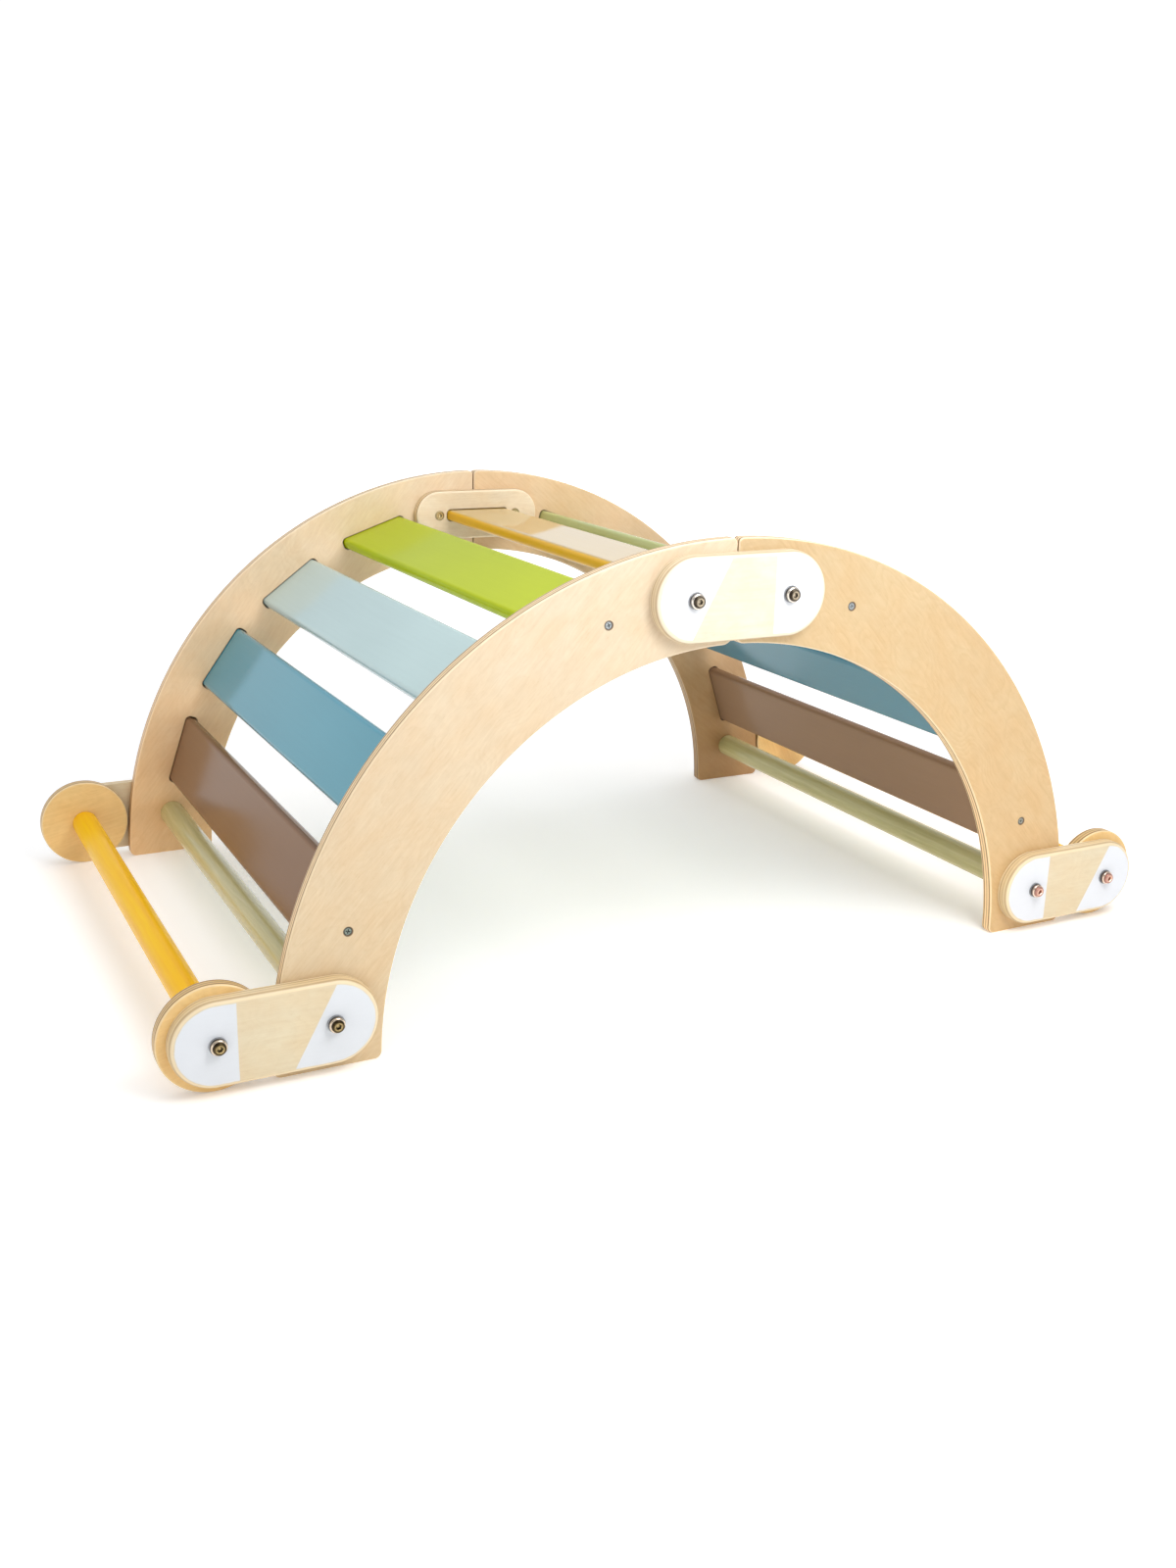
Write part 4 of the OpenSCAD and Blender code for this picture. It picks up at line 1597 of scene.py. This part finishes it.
@dataclass
class Plates:
    """The outer plates and the inner crown plates."""

    radius: float = 0.045
    edge_round: float = 0.0060
    back_round: float = 0.0005
    inner_radius: float = 0.033
    inner_round: float = 0.0032
    slack: float = 0.0006

    # The same white paint, darker on the left end plates and lighter on the right, as
    # painted light and shade.
    END_WHITES = {End.LEFT: rgb(0.70, 0.725, 0.76), End.RIGHT: rgb(0.75, 0.765, 0.80)}

    def drilled(
        self, centre: Vector, radius: float, hole_r: float
    ) -> tuple[Loop, list[Loop]]:
        """A plate's outline and its two bolt holes.

        Args:
            centre: the plate's middle.
            radius: radius of its ends.
            hole_r: radius of its holes.

        Returns:
            The outline and the holes.
        """
        shift = Vector((SIZES.half_spacing, 0.0))
        holes = [circle(centre + s * shift, hole_r) for s in (-1, 1)]
        return stadium(centre, SIZES.half_spacing, radius), holes

    def outer(self, centre: Vector, low: float) -> Board:
        """An outer plate, drawn flat.

        Args:
            centre: its middle.
            low: distance of its back from the middle plane.

        Returns:
            The board.
        """
        loop, holes = self.drilled(centre, self.radius, SIZES.bolt_hole_r)
        return Board(loop, low, low + SIZES.ply_t, self.back_round, self.edge_round, holes)

    def inner(self) -> Board:
        """An inner crown plate, which holds the end of the crown board.

        Returns:
            The board.
        """
        centre = Vector((0.0, SIZES.crown_z))
        loop, holes = self.drilled(centre, self.inner_radius, SIZES.nut_hole_r)
        housing = round_rect(centre, 0.0, SIZES.slat_w + 3 * self.slack,
                             SIZES.slat_t + 2 * self.slack, SIZES.slat_edge_r + self.slack)
        return Board(loop, SIZES.splice_in, SIZES.rail_in, self.inner_round,
                     self.back_round, holes, [Pocket(housing, SIZES.mortise_depth)])

    def build(self) -> None:
        """Makes the crown plates, outside and inside, and the end plates."""
        crown = self.outer(Vector((0.0, SIZES.crown_z)), SIZES.rail_out)
        inner, bare = self.inner(), INNER_PLATE_BIRCH.material()
        painted = CROWN_PAINT.material()
        for side in Side:
            at = side.label
            publish(f"crown_plate_{at}_painted", crown.mesh(End.RIGHT, side), painted,
                    "arch", (f"crown_plate_{at}",))
            publish(f"crown_splice_plate_{at}", inner.mesh(End.RIGHT, side), bare,
                    "arch", (f"crown_inner_plate_{at}",))
        middle = (SIZES.foot_x + SIZES.disc_x) / 2
        plate = self.outer(Vector((middle, SIZES.axle_z)), SIZES.end_plate_in)
        for end, white in self.END_WHITES.items():
            finish = replace(END_PAINT, name=f"{END_PAINT.name}_{end.label}",
                             centre_x=middle * end.value, white=white).material()
            for side in Side:
                name = f"end_plate_{side.label}_{end.label}"
                publish(f"{name}_painted", plate.mesh(end, side), finish,
                        f"{end.label}_end_grip", (name,))


@dataclass
class Discs:
    """The four plywood discs, in line with the rails."""

    radius: float = 0.055
    edge_round: float = 0.0025
    steps: int = 128

    GRAINS = {End.LEFT: math.radians(12), End.RIGHT: math.radians(-65)}

    def build(self) -> None:
        """Makes the discs."""
        low = SIZES.disc_in
        centre = Vector((SIZES.disc_x, SIZES.axle_z))
        board = Board(circle(centre, self.radius, self.steps), low, low + SIZES.ply_t,
                      self.edge_round, self.edge_round, [circle(centre, SIZES.bolt_hole_r)])
        for end, grain in self.GRAINS.items():
            finish = replace(DISC_BIRCH, name=f"{DISC_BIRCH.name}_{end.label}",
                             grain=grain).material()
            for side in Side:
                name = f"{side.label}_{end.label}"
                publish(f"turned_disc_{name}", board.mesh(end, side), finish,
                        f"{end.label}_end_grip", (f"end_disc_{name}",))


@dataclass(frozen=True)
class Row:
    """Places of like fittings: middle X, half span, height, outward distance and count."""

    x: float
    span: float
    z: float
    out: float
    count: int = 4

    def raised(self, by: float) -> "Row":
        """The same row, further outwards."""
        return replace(self, out=self.out + by)


@dataclass
class Fasteners:
    """Bolts, washers, sleeve nuts and screws."""

    crown_bolt_len: float = 0.040
    end_bolt_len: float = 0.050
    head_r: float = 0.00625
    head_h: float = 0.006
    head_edge: float = 0.0013
    shoulder_steps: int = 4
    socket_af: float = 0.005
    socket_depth: float = 0.003
    bore_slack: float = 0.0001
    washer_r: float = 0.009
    washer_t: float = 0.0016
    washer_edge: float = 0.0003
    collar_r: float = 0.008
    collar_t: float = 0.0015
    collar_h: float = 0.0045
    collar_bore_r: float = 0.0064
    nut_r: float = 0.00525
    nut_flange_r: float = 0.0065
    nut_flange_t: float = 0.0015
    nut_edge: float = 0.0005
    nut_len: float = 0.020
    screw_head_r: float = 0.00425
    screw_r: float = 0.00225
    screw_len: float = 0.045
    screw_sunk: float = 0.0006
    screw_steps: int = 64
    tree: FastenerTree = field(default_factory=FastenerTree)

    # In each turned fitting, the last number of a ring is its tone: low as painted shade in
    # sockets, recesses, sides and outlines, high as painted highlight on rims and centres.
    def bolt(self, length: float) -> bpy.types.Object:
        """Turns a socket head bolt, the underside of its head at 0.

        Args:
            length: length under the head.

        Returns:
            The pattern.
        """
        r, h, edge = self.head_r, self.head_h, self.head_edge
        mouth, floor = hexagon(self.socket_af + 0.0008), h - self.socket_depth
        hole = hexagon(self.socket_af)
        shoulder = []
        for i in range(self.shoulder_steps + 1):
            turn = QUARTER_TURN * i / self.shoulder_steps
            height = h - edge + edge * math.sin(turn)
            tone = 0.10 * i / self.shoulder_steps
            shoulder.append((height, r - edge + edge * math.cos(turn), tone))
        return lathe(f"bolt_{length:.3f}", [
            (-length, SIZES.bolt_r * 0.8, 0.5), (-length + 0.001, SIZES.bolt_r, 0.5),
            (0.0, SIZES.bolt_r, 0.3), (0.0, r - 0.0004, 0.0), (0.0004, r, 0.0),
            (0.0036, r, 0.10), *shoulder, (h, r - edge * 1.30, 0.10), (h, 0.0044, 0.45),
            (h, 0.0036, 0.55), (h, mouth, 0.95), (h - 0.0005, hole, 0.55),
            (h - 0.0012, hole, 0.10), (floor, hole, 0.05),
            (floor - 0.0006, 0.0014, 0.45), (floor - 0.0006, 0.0004, 0.95),
        ])

    def washer(self) -> bpy.types.Object:
        """Turns the plain washer, which lies on 0.

        Returns:
            The pattern.
        """
        bore, r = SIZES.bolt_r + self.bore_slack, self.washer_r
        t, edge = self.washer_t, self.washer_edge
        return lathe("washer", [
            (0.0, bore, 0.0), (0.0, r - edge, 0.1), (edge * 0.3, r - edge * 0.3, 0.3),
            (edge, r, 0.5), (t - edge, r, 0.5), (t - edge * 0.3, r - edge * 0.3, 0.9),
            (t, r - edge, 0.7), (t, r - 0.0011, 0.30), (t, bore + edge, 0.1),
            (t - edge, bore, 0.0), (0.0, bore, 0.0),
        ])

    def collar(self) -> bpy.types.Object:
        """Turns the collar washer, a cup with a bevelled rim that lies on 0.

        Returns:
            The pattern.
        """
        bore, r, inner = SIZES.bolt_r + self.bore_slack, self.collar_r, self.collar_bore_r
        top, bevel = self.collar_h, (self.collar_r - self.head_r) / 2
        return lathe("collar", [
            (0.0, bore, 0.0), (0.0, r - 0.0003, 0.0), (0.0003, r, 0.05),
            (0.0016, r, 0.08), (top - bevel - 0.0006, r, 0.40),
            (top - bevel, r - 0.0001, 0.95), (top - bevel * 0.5, r - bevel * 0.45, 1.0),
            (top - 0.0001, r - bevel, 1.0), (top, r - bevel - 0.0002, 0.9),
            (top, inner + 0.0001, 0.5), (top - 0.0002, inner, 0.0),
            (self.collar_t, inner, 0.0), (self.collar_t, bore, 0.0), (0.0, bore, 0.0),
        ])

    def sleeve_nut(self) -> bpy.types.Object:
        """Turns a sleeve nut, its flange's outer face at 0 and its barrel below.

        Returns:
            The pattern.
        """
        r, t, edge = self.nut_flange_r, self.nut_flange_t, self.nut_edge
        deep = -self.socket_depth
        return lathe("sleeve_nut", [
            (-t - self.nut_len, self.nut_r, 0.3), (-t, self.nut_r, 0.1), (-t, r, 0.2),
            (-edge, r, 0.1), (-edge * 0.3, r - edge * 0.3, 0.25), (0.0, r - edge, 0.30),
            (0.0, 0.0045, 0.35), (0.0, 0.0040, 0.85),
            (0.0, hexagon(self.socket_af + 0.0006), 0.9),
            (-0.0004, hexagon(self.socket_af), 0.10), (deep, hexagon(self.socket_af), 0.05),
            (deep - 0.0006, 0.0006, 0.9),
        ])

    def screw(self) -> bpy.types.Object:
        """Turns a countersunk screw, the top of its head at 0.

        Returns:
            The pattern.
        """
        r, cone = self.screw_head_r, self.screw_head_r - self.screw_r
        recess, floor = cross(0.0050, 0.0013), cross(0.0026, 0.0008)
        return lathe("slat_screw", [
            (-self.screw_len, 0.0004, 0.5),
            (-self.screw_len + 0.004, self.screw_r * 0.9, 0.5), (-cone, self.screw_r, 0.2),
            (-0.0003, r, 0.0), (-0.0001, r - 0.0001, 0.15),
            (0.0, r - 0.0008, 0.20), (0.0, 0.0031, 0.60), (0.0, recess, 0.70),
            (-0.0003, recess, 0.35), (-0.0016, floor, 0.25), (-0.0018, 0.0002, 0.60),
        ], self.screw_steps)

    def set_out(self, name: str, fitting: bpy.types.Object, finish: bpy.types.Material,
                body: str, slot: str, nodes: tuple[str, ...], *rows: Row) -> None:
        """Sets out one kind of fitting and publishes it as one piece.

        Args:
            name: name of the piece.
            fitting: the pattern.
            finish: its material.
            body: the CAD body that it rides on.
            slot: not used.
            nodes: the CAD nodes that it stands for.
            rows: the places of the fittings.
        """
        whole = bmesh.new()
        for seed, row in enumerate(rows, 1):
            mesh = self.tree.grow(name, {
                "Centre X": row.x, "Half Span": row.span, "Height": row.z,
                "Outward": row.out, "Count": row.count, "Seed": seed + len(name),
                "Fitting": fitting, "Material": finish,
            })
            whole.from_mesh(mesh)
            bpy.data.meshes.remove(mesh)
        mesh = bpy.data.meshes.new(name)
        whole.to_mesh(mesh)
        whole.free()
        publish(name, mesh, finish, body, nodes)

    def build(self) -> None:
        """Makes every fitting."""
        brass = BRASS.material()
        self.bolts_and_washers()
        self.nuts(brass)
        self.screws()
        self.dress_inserts(brass)

    def bolts_and_washers(self) -> None:
        """Sets out each bolt of the crown, the feet and the discs on its two washers."""
        bronze, zinc, collar = BRONZE.material(), ZINC.material(), COLLAR.material()
        short, long = self.bolt(self.crown_bolt_len), self.bolt(self.end_bolt_len)
        washer, cup = self.washer(), self.collar()
        face, z = SIZES.rail_out + SIZES.ply_t, SIZES.axle_z
        gap = SIZES.swivel_gap
        crown = Row(0.0, SIZES.half_spacing, SIZES.crown_z, face)
        sets = [("crown", "", "arch", short, crown),
                ("foot", "", "arch", long, Row(0.0, SIZES.foot_x, z, face + 2 * gap))]
        for end in End:
            row = Row(SIZES.disc_x * end.value, 0.0, z, face + gap, 2)
            sets.append(("disc", f"_{end.label}", f"{end.label}_end_grip", long, row))
        stack = self.washer_t + self.collar_t
        for kind, tail, body, bolt, row in sets:
            self.set_out(f"{kind}_socket_bolts{tail}", bolt, bronze, body, "bronze_bolt",
                         (f"{kind}_bolts{tail}",), row.raised(stack))
            self.set_out(f"{kind}_plain_washers{tail}", washer, zinc, body, "zinc_washer",
                         (f"{kind}_washers{tail}",), row)
            self.set_out(f"{kind}_collars{tail}", cup, collar, body, "zinc_washer", (),
                         row.raised(self.washer_t))
        for pattern in (short, long, washer, cup):
            bpy.data.objects.remove(pattern)

    def nuts(self, brass: bpy.types.Material) -> None:
        """Sets out the sleeve nuts, which point inwards.

        Args:
            brass: their finish.
        """
        nut = self.sleeve_nut()
        inner = SIZES.splice_in - self.nut_flange_t
        self.set_out("crown_nuts", nut, brass, "arch", "brass_nut", ("crown_sleeve_nuts",),
                     Row(0.0, -SIZES.half_spacing, SIZES.crown_z, -inner))
        bpy.data.objects.remove(nut)

    def screws(self) -> None:
        """Sets out the screws of the first and last slats."""
        screw, out = self.screw(), SIZES.rail_out - self.screw_sunk
        angles = [SIZES.slat_angle(number) for number in (1, SIZES.slat_count)]
        rows = [Row(0.0, SIZES.mid_r * math.cos(a), SIZES.mid_r * math.sin(a), out)
                for a in angles]
        self.set_out("slat_cross_screws", screw, SCREW_ZINC.material(), "arch",
                     "zinc_washer", ("slat_screws",), *rows)
        bpy.data.objects.remove(screw)

    def dress_inserts(self, brass: bpy.types.Material) -> None:
        """Puts the brass on the inserts, which stay hidden in the dowels.

        Args:
            brass: their finish.
        """
        for node in ("foot_inserts", "disc_inserts_left", "disc_inserts_right"):
            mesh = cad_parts[node].data
            mesh.materials.clear()
            mesh.materials.append(brass)


# ---------- Studio ----------
@dataclass(frozen=True)
class Lamp:
    """A square soft light: its place, the point that it faces, its side and its power."""

    name: str
    at: Place
    aim: Place
    size: float
    power: float


@dataclass
class Studio:
    """Pale floor, soft light, and the camera at the photograph's place."""

    camera_at: Place = (-0.84574, -1.66356, 0.71490)
    yaw: float = math.radians(27.397)
    pitch: float = math.radians(17.162)
    roll: float = math.radians(1.315)
    sensor: float = 36.0
    lens: float = 1559.0 / 1600.0 * 36.0
    clip_end: float = 200.0
    floor_size: float = 60.0
    floor_rough: float = 0.8
    floor_glow: float = 0.22
    far_glow: float = 1.0
    horizon: float = 1.06
    front_horizon: float = 0.98
    zenith: float = 0.55
    back_panel: float = 0.90

    LAMPS = (
        Lamp("near_key", (0.15, -0.95, 1.00), (0.05, -0.35, 0.42), 0.6, 5.5),
        Lamp("high_key", (0.15, -1.25, 1.40), (0.05, -0.35, 0.40), 0.9, 6.3),
        Lamp("left_key", (-1.6, -3.0, 2.6), (0.0, 0.0, 0.25), 2.0, 2.6),
        Lamp("overhead", (0.0, 0.0, 3.2), (0.0, 0.0, 0.0), 3.0, 24.0),
        Lamp("right_overhead", (1.8, 0.2, 2.2), (0.0, 0.0, 0.20), 1.5, 9.3),
        Lamp("left_fill", (-2.6, -0.8, 0.7), (0.0, 0.0, 0.25), 1.2, 4.8),
    )

    # Ramps of the dome: over the height of a direction, or its part along Y.
    LOW_SKY = (0.18, 0.36, 1.0, 0.04)
    HIGH_SKY = (0.35, 0.75)
    FRONT_TO_BACK = (-0.5, 0.0)
    PANEL_RISE = (0.15, 0.40)
    PANEL_FALL = (0.40, 0.75, 1.0, 0.0)
    PANEL_BACK = (-0.2, 0.8)
    PANEL_COLOUR = rgb(0.84, 0.93, 1.06)
    FLOOR_AWAY = (1.0, 4.5)
    FLOOR_CLOUD = Pattern((1.5, 1.5, 1.5))

    def camera(self) -> None:
        """Adds the camera."""
        forward = Vector((math.sin(self.yaw) * math.cos(self.pitch),
                          math.cos(self.yaw) * math.cos(self.pitch), -math.sin(self.pitch)))
        level = Vector((math.cos(self.yaw), -math.sin(self.yaw), 0.0))
        up = level.cross(forward)
        right = level * math.cos(self.roll) + up * math.sin(self.roll)
        above = up * math.cos(self.roll) - level * math.sin(self.roll)
        data = bpy.data.cameras.new("camera")
        data.sensor_width, data.lens, data.clip_end = self.sensor, self.lens, self.clip_end
        camera = add_object("camera", data)
        turn = Matrix((right, above, -forward)).transposed()
        camera.matrix_world = Matrix.Translation(self.camera_at) @ turn.to_4x4()
        bpy.context.scene.camera = camera

    def lamp(self, kind: Lamp) -> None:
        """Adds one of the soft lights.

        Args:
            kind: its place, aim, size and power.
        """
        data = bpy.data.lights.new(kind.name, "AREA")
        data.size, data.energy = kind.size, kind.power
        lamp = add_object(kind.name, data)
        lamp.location = kind.at
        aim = Vector(kind.aim) - Vector(kind.at)
        lamp.rotation_mode = "QUATERNION"
        lamp.rotation_quaternion = aim.to_track_quat("-Z", "Y")

    def sky(self) -> None:
        """Lights the scene from all round: white low down, with a soft panel behind."""
        world = bpy.data.worlds.new("studio_light")
        world.use_nodes = True
        g = Graph(world.node_tree)
        g.tree.nodes.clear()
        _, back, up = g.split(g.node("ShaderNodeTexCoord").outputs["Object"])
        horizon = g.remap(back, *self.FRONT_TO_BACK, self.front_horizon, self.horizon)
        low = g.math("MULTIPLY", g.remap(up, *self.LOW_SKY), horizon)
        strength = g.math("ADD", low, g.remap(up, *self.HIGH_SKY, 0.0, self.zenith))
        dome = g.out("ShaderNodeBackground", {"Color": WHITE, "Strength": strength})
        band = g.band(up, self.PANEL_RISE, self.PANEL_FALL)
        behind = g.remap(back, *self.PANEL_BACK, 0.0, self.back_panel)
        pairs = {"Color": self.PANEL_COLOUR, "Strength": g.math("MULTIPLY", band, behind)}
        panel = g.out("ShaderNodeBackground", pairs)
        both = g.out("ShaderNodeAddShader", {0: dome, 1: panel})
        g.node("ShaderNodeOutputWorld", {"Surface": both})
        bpy.context.scene.world = world

    def floor(self) -> None:
        """Adds the pale floor, which glows far from the arch to meet the sky."""
        half = self.floor_size / 2
        mesh = bpy.data.meshes.new("studio_floor")
        corners = [(-half, -half, 0.0), (half, -half, 0.0), (half, half, 0.0),
                   (-half, half, 0.0)]
        mesh.from_pydata(corners, [], [(0, 1, 2, 3)])
        g = ShaderGraph("pale_floor")
        tone = g.noise(g.position(), self.FLOOR_CLOUD)
        colour = g.mix(tone, rgb(0.93, 0.93, 0.93), rgb(0.95, 0.95, 0.95))
        away = g.node("ShaderNodeVectorMath", {0: g.position()}, operation="LENGTH")
        lit = g.remap(away.outputs["Value"], *self.FLOOR_AWAY, self.floor_glow,
                      self.far_glow)
        mesh.materials.append(g.finish(colour, self.floor_rough, Emission_Color=WHITE,
                                       Emission_Strength=lit))
        add_object("studio_floor", mesh)

    def build(self) -> None:
        """Sets up the camera, the light and the floor."""
        bpy.context.scene.view_settings.view_transform = "Standard"
        self.sky()
        self.camera()
        self.floor()
        for kind in self.LAMPS:
            self.lamp(kind)


def main() -> None:
    """Builds the studio and every sub-assembly."""
    logging.basicConfig(level=logging.INFO, format="%(name)s %(message)s")
    Studio().build()
    for part in (Rails(), Slats(), Dowels(), Plates(), Discs(), Fasteners()):
        LOG.info("building %s", type(part).__name__)
        part.build()


if __name__ == "__main__":
    main()
